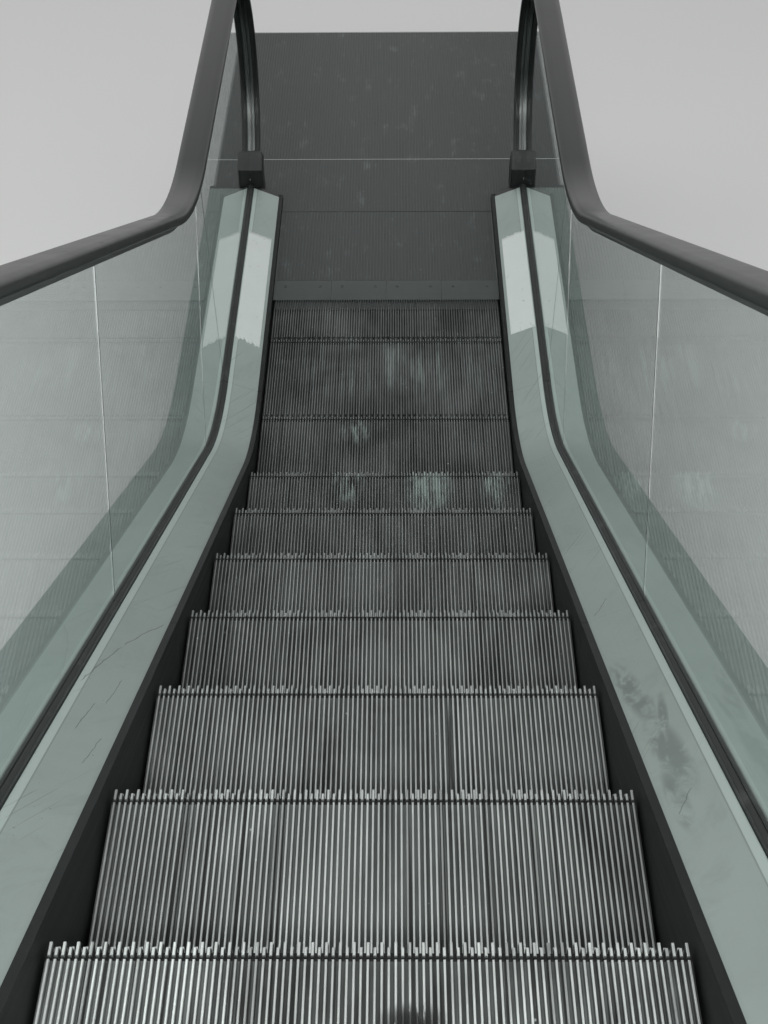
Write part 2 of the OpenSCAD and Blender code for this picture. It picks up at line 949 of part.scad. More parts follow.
// The two tracks under the rollers are the step path moved to the two axles
track_y_low = comb_y_low - step_pitch;
track_y_up = comb_y_up + 1.2 * step_pitch;
track_foot = -roller_r - roller_play - track_t;

module track(axle, x0) {
    sweep(moved(step_path(0, track_y_low - axle[0], track_y_up - axle[0]), axle))
        translate([x0 - track_lip, track_foot])
            square([roller_w + 2 * track_lip, track_t]);
}

module roller_tracks() {
    color("slategray") {
        track(chain_axle, chain_x);
        track(trail_axle, trail_x);
    }
}

module roller_tracks_right() {
    roller_tracks();
}

module roller_tracks_left() {
    left_side() roller_tracks();
}

// Four chords run the length of the truss, just inside the panels
module chord(lower, upper) {
    both_sides()
        upright_plate(upright_x, upright_x + member_w)
            between(lower, upper);
}

chord_top = frame_foot;
module truss_chords() {
    up = clad_t + member_w;
    color("slategray") {
        chord(underside(clad_t), underside(up));
        chord(
            step_path(chord_top - member_w, end_y_low + clad_t, end_y_up - clad_t),
            step_path(chord_top, end_y_low + clad_t, end_y_up - clad_t)
        );
    }
}

// An end cap closes the decks, the clamp and the skirt where they stop on the landing
module balustrade_end() {
    deck_high = clamp_top - 4;
    color("#8f9a94")
        both_sides()
            translate([0, deck_t, 0])
                rotate([90, 0, 0])
                    linear_extrude(deck_t)
                        polygon([
                            [skirt_x, frame_foot], [skirt_x, skirt_top], [deck_x, skirt_top + deck_t],
                            [clamp_x, deck_top + deck_t], [clamp_x, clamp_top], [outer_x, clamp_top],
                            [outer_x, deck_high], [side_x, deck_high], [side_x, frame_foot]
                        ]);
}

module balustrade_ends_lower() {
    translate([0, deck_y_low - deck_t, 0]) balustrade_end();
}

module balustrade_ends_upper() {
    translate([0, deck_y_up + deck_t, rise]) mirror([0, 1, 0]) balustrade_end();
}

// Frames across the truss: uprights and a beam between the chords, plates that carry the tracks,
// and posts that carry the clamps of the glass
frame_count = 9;
frame_s0 = s_first + step_pitch * 0.4;
frame_s1 = s_last - step_pitch * 0.5;
plate_drop = 400;

module at_frames() {
    for (k = [0:frame_count - 1]) {
        s = frame_s0 + (frame_s1 - frame_s0) * k / (frame_count - 1);
        translate([0, nose_at(s)[0], nose_at(s)[1]])
            rotate([90 + slope_at(s), 0, 0])
                translate([0, 0, -member_w / 2])
                    linear_extrude(member_w)
                        children();
    }
}

module over_track(axle, x0, x1) {
    y0 = track_y_low - step_pitch - axle[0];
    y1 = track_y_up + step_pitch - axle[0];
    upright_plate(x0, x1)
        between(
            moved(step_path(track_foot, y0, y1), axle),
            moved(step_path(track_foot + 1.6 * plate_drop, y0, y1), axle)
        );
}

module truss_frames() {
    up = clad_t + member_w;
    low = chord_top - member_w;
    color("slategray") {
        intersection() {
            both_sides()
                upright_plate(upright_x, upright_x + member_w)
                    between(underside(up), step_path(low, end_y_low, end_y_up));
            at_frames()
                translate([-side_x, -1.5 * truss_depth])
                    square([2 * side_x, 1.5 * truss_depth]);
        }
        intersection() {
            upright_plate(-upright_x, upright_x)
                between(underside(clad_t), underside(up));
            at_frames()
                translate([-side_x, -1.5 * truss_depth])
                    square([2 * side_x, 1.5 * truss_depth]);
        }
        both_sides() {
            difference() {
                at_frames()
                    translate([trail_x - track_lip, -plate_drop])
                        square([upright_x + 1 - trail_x + track_lip, plate_drop]);
                over_track(trail_axle, trail_x - 2 * track_lip, chain_x - 1.5 * track_lip);
                over_track(chain_axle, chain_x - 1.5 * track_lip, side_x);
            }
            at_frames() {
                translate([clamp_x, chord_top - member_w])
                    square([upright_x - clamp_x, member_w]);
                translate([clamp_x, chord_top - 1])
                    square([outer_x - clamp_x, clamp_foot - 0.3 - chord_top + 1]);
            }
        }
    }
}

seated() steps_lower_landing();
seated() steps_flight_lower();
seated() steps_flight_upper();
seated() steps_upper_landing();
seated() comb_lower();
seated() comb_upper();
seated() comb_plate_lower();
seated() comb_plate_upper();
seated() floor_plates_lower();
seated() floor_plates_upper();
seated() floor_frame_lower();
seated() floor_frame_upper();
seated() skirt_left();
seated() skirt_right();
seated() inner_deck_left();
seated() inner_deck_right();
seated() glass_clamp_left();
seated() glass_clamp_right();
seated() outer_deck_left();
seated() outer_deck_right();
seated() glass_left();
seated() glass_right();
seated() newel_glass_lower();
seated() newel_glass_upper();
seated() handrail_guide_left();
seated() handrail_guide_right();
seated() handrail_left();
seated() handrail_right();
seated() handrail_inlets_lower();
seated() handrail_inlets_upper();
seated() side_panels_left();
seated() side_panels_right();
seated() underside_panels();
seated() balustrade_ends_lower();
seated() balustrade_ends_upper();
seated() end_wall_lower();
seated() end_wall_upper();
seated() bearing_angle_lower();
seated() bearing_angle_upper();
seated() roller_tracks_left();
seated() roller_tracks_right();
seated() truss_chords();
seated() truss_frames();
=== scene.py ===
import math

import bmesh
import bpy
import numpy as np
from bpy.props import FloatProperty, FloatVectorProperty, IntProperty, PointerProperty
from mathutils import Euler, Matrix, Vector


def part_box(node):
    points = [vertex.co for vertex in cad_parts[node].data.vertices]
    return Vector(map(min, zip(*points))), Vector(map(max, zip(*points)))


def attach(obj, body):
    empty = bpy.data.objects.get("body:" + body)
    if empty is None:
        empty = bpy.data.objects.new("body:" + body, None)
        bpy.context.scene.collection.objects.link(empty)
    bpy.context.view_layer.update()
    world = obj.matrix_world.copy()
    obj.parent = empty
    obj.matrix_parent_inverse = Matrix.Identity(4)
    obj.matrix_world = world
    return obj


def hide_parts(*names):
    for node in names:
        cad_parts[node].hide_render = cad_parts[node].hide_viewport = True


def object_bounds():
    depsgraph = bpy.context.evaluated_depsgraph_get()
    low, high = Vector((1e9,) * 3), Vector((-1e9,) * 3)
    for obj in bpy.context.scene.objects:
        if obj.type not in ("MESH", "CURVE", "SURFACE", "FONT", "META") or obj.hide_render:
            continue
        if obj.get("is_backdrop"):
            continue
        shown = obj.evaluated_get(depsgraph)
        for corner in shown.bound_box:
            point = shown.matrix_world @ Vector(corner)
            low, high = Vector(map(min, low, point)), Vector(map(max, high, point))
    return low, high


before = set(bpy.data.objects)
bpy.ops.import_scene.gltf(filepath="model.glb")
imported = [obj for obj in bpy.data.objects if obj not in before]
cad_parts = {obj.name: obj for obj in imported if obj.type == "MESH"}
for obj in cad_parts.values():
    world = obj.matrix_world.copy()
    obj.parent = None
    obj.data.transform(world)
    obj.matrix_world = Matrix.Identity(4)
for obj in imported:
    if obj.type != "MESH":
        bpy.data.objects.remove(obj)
cad_low, cad_high = (tuple(corner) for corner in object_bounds())

bl_info = {
    "name": "Escalator",
    "version": (1, 0, 0),
    "blender": (4, 5, 0),
    "location": "3D View > Sidebar > Escalator",
    "description": "Dresses an escalator with grooved steps, combs, decks, glass and handrails",
    "category": "Add Mesh",
}

RAD = math.pi / 180
MM = 0.001

# Where the escalator's main lines are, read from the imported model
PLATE_LIFT = 12 * MM
COMB_BODY = 110 * MM
LOW_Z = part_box("floor_plates_lower")[1].z - PLATE_LIFT
HIGH_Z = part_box("floor_plates_upper")[1].z - PLATE_LIFT
COMB_LOW_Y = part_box("comb_plate_lower")[1].y + COMB_BODY
COMB_HIGH_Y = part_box("comb_plate_upper")[0].y - COMB_BODY
SKIRT_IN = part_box("skirt_right")[0].x
SKIRT_OUT_FOOT = SKIRT_IN + 4 * MM
CLAMP_IN, CLAMP_OUT = (corner.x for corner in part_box("glass_clamp_right"))
CLAMP_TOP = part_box("balustrade_ends_lower")[1].z - LOW_Z
SIDE_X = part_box("outer_deck_right")[1].x
GLASS_IN, GLASS_OUT = (corner.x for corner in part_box("glass_right"))
RAIL_X = (GLASS_IN + GLASS_OUT) / 2
DECK_LOW_Y, DECK_HIGH_Y = (corner.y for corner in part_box("inner_deck_right"))
RAIL_LOW_Y, RAIL_HIGH_Y = (corner.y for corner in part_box("handrail_right"))
STEP_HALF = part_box("comb_plate_lower")[1].x - 3 * MM
DECK_SHEET = 3 * MM
DECK_IN = SKIRT_IN + 20 * MM
FLOOR_PLATE = 376 * MM
DECK_STOP = 654 * MM
FLIGHT_LENGTHS = 4

# Each group of steps and how many it holds, from the lower landing up
STEP_NODES = (
    ("steps_lower_landing", 4), ("steps_flight_lower", 6), ("steps_flight_upper", 7),
    ("steps_upper_landing", 4))
SIDES = (("right", 1), ("left", -1))
# Each landing: name, its comb's root line and whether its pieces are turned about
LANDINGS = (("lower", COMB_LOW_Y, LOW_Z, False), ("upper", COMB_HIGH_Y, HIGH_Z, True))

WORLD_LEVEL = 0.42
LIGHTS_AIM = (0.0, 5.0, 1.0)
# Each light: name, place, size and power in watts
STAGE_LIGHTS = (
    ("overhead_softbox", (0.5, 5.0, 9.0), (6.0, 12.0), 200.0),
    ("fill_softbox", (0.0, 6.16, 2.92), (0.2, 0.2), 17.0),
    ("side_softbox", (7.0, 2.0, 5.0), (5.0, 5.0), 90.0),
    ("back_softbox", (-6.0, 9.0, 5.5), (5.0, 5.0), 70.0),
)


def length(name, description, value):
    """A length property."""
    return FloatProperty(name=name, description=description, default=value, unit="LENGTH")


def angle(name, description, degrees):
    """An angle property, whose default is given in degrees."""
    return FloatProperty(
        name=name, description=description, default=degrees * RAD, subtype="ANGLE")


def colour(name, description, value):
    """A colour property."""
    return FloatVectorProperty(
        name=name, description=description, size=3, default=value, subtype="COLOR", min=0, max=1)


class EscalatorSizes(bpy.types.PropertyGroup):
    """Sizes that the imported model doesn't give by itself."""

    incline: angle("Incline", "Slope of the flight", 30)
    comb_run_low: length(
        "Lower comb run", "From the lower comb to the corner of the flight", 0.790)
    bend_low: length("Lower bend", "Radius of the step path at the foot of the flight", 1.0)
    bend_up: length("Upper bend", "Radius of the step path at the head of the flight", 1.5)
    step_pitch: length("Step pitch", "Distance between steps along the chain", 0.404)
    step_gap: length("Step gap", "Gap between a tread and the riser behind it", 0.006)
    cleat_count: IntProperty(name="Cleats", description="Cleats across a tread", default=93, min=3)
    cleat_pitch: length("Cleat pitch", "Spacing of the cleats", 0.00857)
    cleat_width: length("Cleat width", "Width of a cleat at its top", 0.0031)
    cleat_height: length("Cleat height", "Height of the cleats", 0.011)
    nose_groove: length("Nose groove", "From the nose to the groove across the cleats", 0.0205)
    nose_short: length("Short cleats", "How much shorter every other cleat is at the nose", 0.007)
    skirt_top: length("Skirt top", "Height of the skirt over the noses", 0.026)
    deck_rise: length("Deck rise", "How much the inner deck climbs to the glass", 0.0387)
    rail_height: length("Handrail height", "Height of the handrail over the landings", 0.930)
    rail_height_flight: length("Handrail height on the flight", "Height over the noses", 0.900)
    rail_bend_low: length(
        "Lower handrail bend", "Radius of the handrail at the foot of the flight", 0.9)
    rail_bend_up: length(
        "Upper handrail bend", "Radius of the handrail at the head of the flight", 1.9)
    newel_radius: length("Newel radius", "Outer radius of the handrail at the newels", 0.450)
    newel_turn: angle("Newel turn", "How far the handrail turns round a newel", 152)
    inlet_turn: angle("Turn inside the inlet", "How much of that turn the inlet hides", 12)
    rail_width: length("Handrail width", "Width of the handrail", 0.080)
    rail_thick: length("Handrail thickness", "Height of the handrail's section", 0.028)
    camera_place: FloatVectorProperty(
        name="Camera", description="Where the photograph was taken from", size=3,
        default=(-0.0355, 5.9968, 3.0444), subtype="TRANSLATION")
    camera_pitch: angle("Camera pitch", "How far the camera looks down", 45.628)
    camera_yaw: angle("Camera yaw", "How far the camera is turned from the flight", 0.753)
    camera_roll: angle("Camera roll", "How far the camera is tilted", -0.598)
    camera_lens: FloatProperty(
        name="Lens", description="Focal length for a 36 mm long side", default=47.248,
        subtype="DISTANCE_CAMERA")


class EscalatorColours(bpy.types.PropertyGroup):
    """Base colours of the finishes."""

    step: colour("Steps", "Worn die-cast aluminium", (0.40, 0.42, 0.41))
    step_dirt: colour("Step dirt", "Dust and dirt between the cleats", (0.085, 0.095, 0.092))
    comb: colour("Combs", "Die-cast comb segments, dulled by dirt", (0.080, 0.090, 0.087))
    plate: colour("Floor plates", "Dark ribbed floor plates", (0.055, 0.063, 0.061))
    skirt: colour("Skirts", "Black coated skirt", (0.010, 0.011, 0.011))
    deck: colour("Decks", "Satin deck sheets", (0.31, 0.365, 0.345))
    clamp: colour("Clamps", "Dark glass clamps", (0.018, 0.023, 0.022))
    gasket: colour("Gaskets", "Rubber against the glass", (0.008, 0.011, 0.010))
    glass: colour("Glass", "Clear toughened glass", (0.90, 0.97, 0.95))
    guide: colour("Guides", "Dull stainless handrail guides", (0.15, 0.16, 0.155))
    trim: colour("Joint trims", "Stainless bars in the floor joints", (0.42, 0.44, 0.43))
    rail: colour("Handrails", "Black rubber", (0.007, 0.009, 0.0085))
    inlet: colour("Inlets", "Black moulded plastic", (0.009, 0.009, 0.010))
    panel: colour("Panels", "Satin sheet panels", (0.34, 0.385, 0.37))
    rim: colour("Floor frames", "Cast rim round the floor plates", (0.30, 0.31, 0.31))
    truss: colour("Truss", "Painted structural steel", (0.12, 0.135, 0.14))
    strip: colour("Films", "Worn white film on the decks", (0.80, 0.85, 0.83))
    floor: colour("Floor", "Pale studio floor", (0.90, 0.905, 0.90))


def sizes():
    return bpy.context.scene.escalator_sizes


def colours():
    return bpy.context.scene.escalator_colours


class Socket:
    """A value in a shader's node tree; arithmetic on it adds Math nodes."""

    def __init__(self, shader, socket):
        self.shader = shader
        self.socket = socket

    def math(self, operation, *values, clamp=False):
        return self.shader.node(
            "ShaderNodeMath", {"operation": operation, "use_clamp": clamp}, dict(enumerate(values)))

    def __add__(self, other):
        return self.math("ADD", self, other)

    def __sub__(self, other):
        return self.math("SUBTRACT", self, other)

    def __rsub__(self, other):
        return self.math("SUBTRACT", other, self)

    def __mul__(self, other):
        return self.math("MULTIPLY", self, other)

    def __truediv__(self, other):
        return self.math("DIVIDE", self, other)

    def __rtruediv__(self, other):
        return self.math("DIVIDE", other, self)

    def __pow__(self, other):
        return self.math("POWER", self, other)

    def __rpow__(self, other):
        return self.math("POWER", other, self)

    __radd__ = __add__
    __rmul__ = __mul__

    def clamped(self):
        return self.math("ADD", self, 0.0, clamp=True)

    def absolute(self):
        return self.math("ABSOLUTE", self)

    def larger(self, other):
        return self.math("MAXIMUM", self, other)

    def step(self, low, high):
        """Rises smoothly from 0 at low to 1 at high."""
        return self.shader.node(
            "ShaderNodeMapRange", {"interpolation_type": "SMOOTHSTEP", "clamp": True},
            {"Value": self, "From Min": low, "From Max": high, "To Min": 0.0, "To Max": 1.0})


class Shader:
    """The node tree of a material or of the world."""

    def __init__(self, owner):
        self.owner = owner
        owner.use_nodes = True
        self.tree = owner.node_tree
        self.tree.nodes.clear()

    def node(self, kind, settings, inputs, output=0):
        """Adds a node, sets its settings and its sockets, and returns one of its outputs, if any."""
        made = self.tree.nodes.new(kind)
        for name, value in settings.items():
            setattr(made, name, value)
        for name, value in inputs.items():
            socket = made.inputs[name]
            if isinstance(value, Socket):
                self.tree.links.new(value.socket, socket)
            elif socket.type == "RGBA":
                socket.default_value = (*value, 1.0)
            else:
                socket.default_value = value
        return Socket(self, made.outputs[output]) if made.outputs else None

    @property
    def place(self):
        """The object's own coordinates."""
        return self.node("ShaderNodeTexCoord", {}, {}, "Object")

    def axis(self, name):
        """One of the object's own coordinates."""
        return self.node("ShaderNodeSeparateXYZ", {}, {0: self.place}, name)

    def noise(self, scale, detail=4.0, roughness=0.55, distortion=0.0, turn=(0.0, 0.0, 0.0)):
        """Noise; a scale of three numbers stretches it along each axis, after it is turned."""
        place = self.place
        if isinstance(scale, tuple):
            turned = self.node(
                "ShaderNodeMapping", {"vector_type": "POINT"}, {"Vector": place, "Rotation": turn})
            place = self.node(
                "ShaderNodeVectorMath", {"operation": "MULTIPLY"}, {0: turned, 1: scale})
            scale = 1.0
        return self.node(
            "ShaderNodeTexNoise", {},
            {"Vector": place, "Scale": scale, "Detail": detail, "Roughness": roughness,
             "Distortion": distortion}, "Fac")

    def specks(self, scale, reach, patch_scale, patch):
        """Small round spots that lie in patches: reach and patch are their soft edges."""
        cells = self.node("ShaderNodeTexVoronoi", {}, {"Vector": self.place, "Scale": scale}, "Distance")
        return (1.0 - cells.step(*reach)) * self.noise(patch_scale, 2.0).step(*patch)

    def depth(self):
        """The mesh's depth: 0 on what is touched, 1 on what is hidden and dirty, and 2 where the steps
        get painted shade between their cleats' tips.
        """
        return self.node("ShaderNodeAttribute", {"attribute_name": "depth"}, {}, "Fac")

    def mix(self, factor, first, second):
        """A colour between two others."""
        return self.node(
            "ShaderNodeMix", {"data_type": "RGBA", "clamp_factor": True},
            {0: factor, 6: first, 7: second}, 2)

    def layered(self, base, *layers):
        """Lays colours over a base; each layer is how much it covers and its colour."""
        for factor, shade in layers:
            base = self.mix(factor, base, shade)
        return base

    def ray(self, *kinds):
        """1 where a ray is of one of these kinds, and 0 elsewhere."""
        found = [self.node("ShaderNodeLightPath", {}, {}, "Is " + kind + " Ray") for kind in kinds]
        return sum(found[1:], found[0]).clamped()

    def finish(self, base, rough, bump=None, more=None, passing=None):
        """Adds the surface, with more sockets by name, and returns the material.

        bump is a height, its strength and its distance. Where passing is given, that share of the
        light passes straight through.
        """
        inputs = {"Base Color": base, "Roughness": rough, **(more or {})}
        if bump:
            inputs["Normal"] = self.node(
                "ShaderNodeBump", {}, dict(zip(("Height", "Strength", "Distance"), bump)))
        surface = self.node("ShaderNodeBsdfPrincipled", {}, inputs)
        if passing:
            clear = self.node("ShaderNodeBsdfTransparent", {}, {"Color": (0.93, 0.97, 0.96)})
            surface = self.node("ShaderNodeMixShader", {}, {0: passing, 1: surface, 2: clear})
        self.node("ShaderNodeOutputMaterial", {}, {"Surface": surface})
        return self.owner


def painted_in(name):
    """The shader of a new material."""
    return Shader(bpy.data.materials.new(name))


def scaled(shade, factor):
    """A colour made lighter or darker by a factor."""
    return tuple(value * factor for value in shade)


# The lines that pieces follow


class Line:
    """A line in the plane x = 0, as arrays of y, z and heading.

    A straight stretch has a point at each end, and a bend is a circular arc of points.
    """

    def __init__(self, y, z, heading):
        self.y = np.asarray(y, float)
        self.z = np.asarray(z, float)
        self.heading = np.asarray(heading, float)

    @staticmethod
    def bent(points, radii, arc_points):
        """Joins points by straight stretches, with the corner at each inner point rounded.

        An arc of radius r starts r * tan(turn / 2) before its corner. A point at heading h on it
        is the arc's centre minus side * r times the left normal (-sin h, cos h).
        """
        points = np.asarray(points, float)
        legs = np.diff(points, axis=0)
        aims = np.arctan2(legs[:, 1], legs[:, 0])
        line = Line(points[:1, 0], points[:1, 1], aims[:1])
        for corner, radius, before, after in zip(points[1:-1], radii, aims[:-1], aims[1:]):
            turn = after - before
            side = math.copysign(1.0, turn)
            start = corner - radius * math.tan(abs(turn) / 2) * np.array(
                [math.cos(before), math.sin(before)])
            centre = start + side * radius * np.array([-math.sin(before), math.cos(before)])
            aim = np.linspace(before, after, arc_points)
            line = line.joined(Line(
                centre[0] + side * radius * np.sin(aim), centre[1] - side * radius * np.cos(aim), aim))
        return line.joined(Line(points[-1:, 0], points[-1:, 1], aims[-1:]))

    def joined(self, other):
        return Line(*(np.concatenate([getattr(self, part), getattr(other, part)])
                      for part in ("y", "z", "heading")))


def corner_y():
    """Where the flight would start if its lower bend were sharp."""
    return COMB_LOW_Y + sizes().comb_run_low


def flight_run():
    """The horizontal distance between the flight's two corners."""
    return (HIGH_Z - LOW_Z) / math.tan(sizes().incline)


class StepPath:
    """The path of the noses by distance along it, with 0 where the lower bend starts."""

    def __init__(self):
        s = sizes()
        self.slope, self.low, self.up = s.incline, s.bend_low, s.bend_up
        self.in_low = self.low * math.tan(self.slope / 2)
        self.in_up = self.up * math.tan(self.slope / 2)
        self.s1 = self.low * self.slope
        self.s2 = self.s1 + (HIGH_Z - LOW_Z) / math.sin(self.slope) - self.in_low - self.in_up
        self.s3 = self.s2 + self.up * self.slope

    def heading(self, d):
        """The slope of the path at distances d along it."""
        return np.clip(np.minimum(d / self.low, (self.s3 - d) / self.up), 0, self.slope)

    def at(self, d):
        """(y, z) of noses: straight, arc, straight, arc, straight, as whole arrays."""
        turn_low = np.clip(d / self.low, 0, self.slope)
        turn_up = np.clip((self.s3 - d) / self.up, 0, self.slope)
        along = np.clip(d - self.s1, 0, self.s2 - self.s1)
        y = (corner_y() - self.in_low + np.minimum(d, 0) + self.low * np.sin(turn_low)
             + along * math.cos(self.slope)
             + self.up * (math.sin(self.slope) - np.sin(turn_up)) + np.maximum(d - self.s3, 0))
        z = (LOW_Z + self.low * (1 - np.cos(turn_low)) + along * math.sin(self.slope)
             + self.up * (np.cos(turn_up) - math.cos(self.slope)))
        return y, z

    def line(self, start, end):
        """The line of the noses from one distance to another, with a point every 25 mm in bends."""
        bends = np.concatenate([np.linspace(0, self.s1, 22), np.linspace(self.s2, self.s3, 32)])
        inside = bends[(bends > start + MM) & (bends < end - MM)]
        d = np.concatenate([[start], inside, [end]])
        return Line(*self.at(d), self.heading(d))

    def distance(self, y):
        """How far along the path a place on a landing lies."""
        if y < corner_y():
            return y - corner_y() + self.in_low
        return self.s3 + y - corner_y() - flight_run() - self.in_up

    def lengths(self, gap):
        """Lines of the balustrade's lengths: joints lie at the bends' ends and in the flight."""
        flight = np.linspace(self.s1, self.s2, FLIGHT_LENGTHS + 1)
        cuts = [self.distance(DECK_LOW_Y) - gap / 2, 0.0, *flight, self.s3,
                self.distance(DECK_HIGH_Y) + gap / 2]
        return [self.line(a + gap / 2, b - gap / 2) for a, b in zip(cuts[:-1], cuts[1:])]


def newel_centres():
    """(y, z) of the centres that the handrails turn about, lower and upper."""
    s = sizes()
    down = s.rail_height - s.newel_radius
    return ((RAIL_LOW_Y + s.newel_radius, LOW_Z + down),
            (RAIL_HIGH_Y - s.newel_radius, HIGH_Z + down))


def handrail_line():
    """The handrail's top line: lower newel, landing, flight, landing, upper newel.

    Round a newel a point at the turn a from the top is (y - r sin a, z + r cos a).
    """
    s = sizes()
    r = s.newel_radius
    (low_y, low_z), (high_y, high_z) = newel_centres()
    foot = corner_y() + (s.rail_height - s.rail_height_flight) / math.tan(s.incline)
    run = Line.bent(
        [(low_y, low_z + r), (foot, low_z + r), (foot + flight_run(), high_z + r), (high_y, high_z + r)],
        [s.rail_bend_low, s.rail_bend_up], 28)
    turn = np.linspace(s.newel_turn, 0, 45)[:-1]
    lower = Line(low_y - r * np.sin(turn), low_z + r * np.cos(turn), turn)
    turn = -turn[::-1]
    upper = Line(high_y - r * np.sin(turn), high_z + r * np.cos(turn), turn)
    return lower.joined(run).joined(upper)


# Meshes from whole arrays


class Surface:
    """Gathers arrays of points and faces, and makes one mesh of them."""

    def __init__(self):
        self.points = np.zeros((0, 3))
        self.depths = np.zeros(0)
        self.faces = []

    def add(self, points, faces, depth=0.0):
        """points is (..., 3); faces is a list of (m, k) index arrays; depth marks hidden dirt, and on the
        steps painted shade too.
        """
        self.faces = self.faces + [face + len(self.points) for face in faces]
        self.depths = np.concatenate([self.depths, np.broadcast_to(depth, points.shape[:-1]).ravel()])
        self.points = np.concatenate([self.points, points.reshape(-1, 3)])
        return self

    def tubes(self, points, depth=0.0, closed=False):
        """points is (..., u, v, 3): tubes of u closed rings, each ring with v points.

        Neighbouring rings are joined. A tube's first and last rings are filled in, or where closed
        is true they are joined to each other.
        """
        index = np.arange(points.size // 3).reshape(-1, *points.shape[-3:-1])
        rings = np.concatenate([index, index[:, :1]], 1) if closed else index
        ahead = np.roll(rings, -1, axis=2)
        quads = np.stack([rings[:, :-1], rings[:, 1:], ahead[:, 1:], ahead[:, :-1]], -1).reshape(-1, 4)
        return self.add(points, [quads] if closed else [quads, index[:, 0], index[:, -1]], depth)

    def swept(self, profile, line):
        """Carries a closed profile of (x, d) points along a line: d is square to the line.

        A point is (x, y - d sin h, z + d cos h), where h is the line's heading.
        """
        x, d = profile.T
        y = line.y[:, None] - d * np.sin(line.heading)[:, None]
        z = line.z[:, None] + d * np.cos(line.heading)[:, None]
        return self.tubes(np.stack([np.broadcast_to(x, y.shape), y, z], -1))

    def mirrored(self):
        """Adds the same surface reflected in the plane x = 0."""
        return self.add(self.points * (-1.0, 1.0, 1.0), self.faces, self.depths)

    def at_landing(self, y, z, up):
        """Places a landing's piece at its root line; the upper landing's is turned about."""
        self.points = self.points * ((-1.0, -1.0, 1.0) if up else 1.0) + (0.0, y, z)
        return self

    def build(self, name, smooth):
        """Makes the object; faces that meet at under smooth degrees are shaded as one."""
        loops = np.concatenate([face.ravel() for face in self.faces])
        counts = np.concatenate([np.full(len(face), face.shape[1]) for face in self.faces])
        mesh = bpy.data.meshes.new(name)
        mesh.vertices.add(len(self.points))
        mesh.vertices.foreach_set("co", self.points.astype(np.float32).ravel())
        mesh.loops.add(len(loops))
        mesh.loops.foreach_set("vertex_index", loops.astype(np.int32))
        mesh.polygons.add(len(counts))
        mesh.polygons.foreach_set("loop_start", (np.cumsum(counts) - counts).astype(np.int32))
        mesh.polygons.foreach_set("loop_total", counts.astype(np.int32))
        depth = mesh.attributes.new("depth", "FLOAT", "POINT")
        depth.data.foreach_set("value", self.depths.astype(np.float32))
        mesh.update(calc_edges=True)
        mesh.validate()
        # Each closed shell is turned so that its faces point outwards
        shells = bmesh.new()
        shells.from_mesh(mesh)
        bmesh.ops.recalc_face_normals(shells, faces=shells.faces)
        shells.to_mesh(mesh)
        shells.free()
        mesh.shade_smooth()
        mesh.set_sharp_from_angle(angle=smooth * RAD)
        made = bpy.data.objects.new(name, mesh)
        bpy.context.scene.collection.objects.link(made)
        return made


def rounded(corners, radius, points):
    """A closed profile with every corner rounded.

    Each corner is replaced by points on a quadratic curve from radius before it to radius after
    it: (1 - t)^2 a + 2 t (1 - t) corner + t^2 b.
    """
    corners = np.asarray(corners, float)
    before = np.roll(corners, 1, axis=0) - corners
    after = np.roll(corners, -1, axis=0) - corners
    lengths = np.minimum(np.linalg.norm(before, axis=1), np.linalg.norm(after, axis=1))
    reach = np.minimum(np.broadcast_to(radius, len(corners)), lengths * 0.45)[:, None]
    a = corners + before / np.linalg.norm(before, axis=1)[:, None] * reach
    b = corners + after / np.linalg.norm(after, axis=1)[:, None] * reach
    t = np.linspace(0, 1, points)[None, :, None]
    curve = (1 - t) ** 2 * a[:, None] + 2 * t * (1 - t) * corners[:, None] + t ** 2 * b[:, None]
    return curve.reshape(-1, 2)


def placed(surface, name, smooth, material, slot, *nodes):
    """Builds a piece and gives it its material and its body; its record slot is not used."""
    piece = surface.build(name, smooth)
    piece.data.materials.append(material)
    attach(piece, "root")
    if nodes:
        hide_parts(*nodes)


def painted(nodes, material):
    """Gives CAD nodes that stay a material."""
    for name in nodes:
        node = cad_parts[name]
        node.data.materials.clear()
        node.data.materials.append(material)


# Finishes


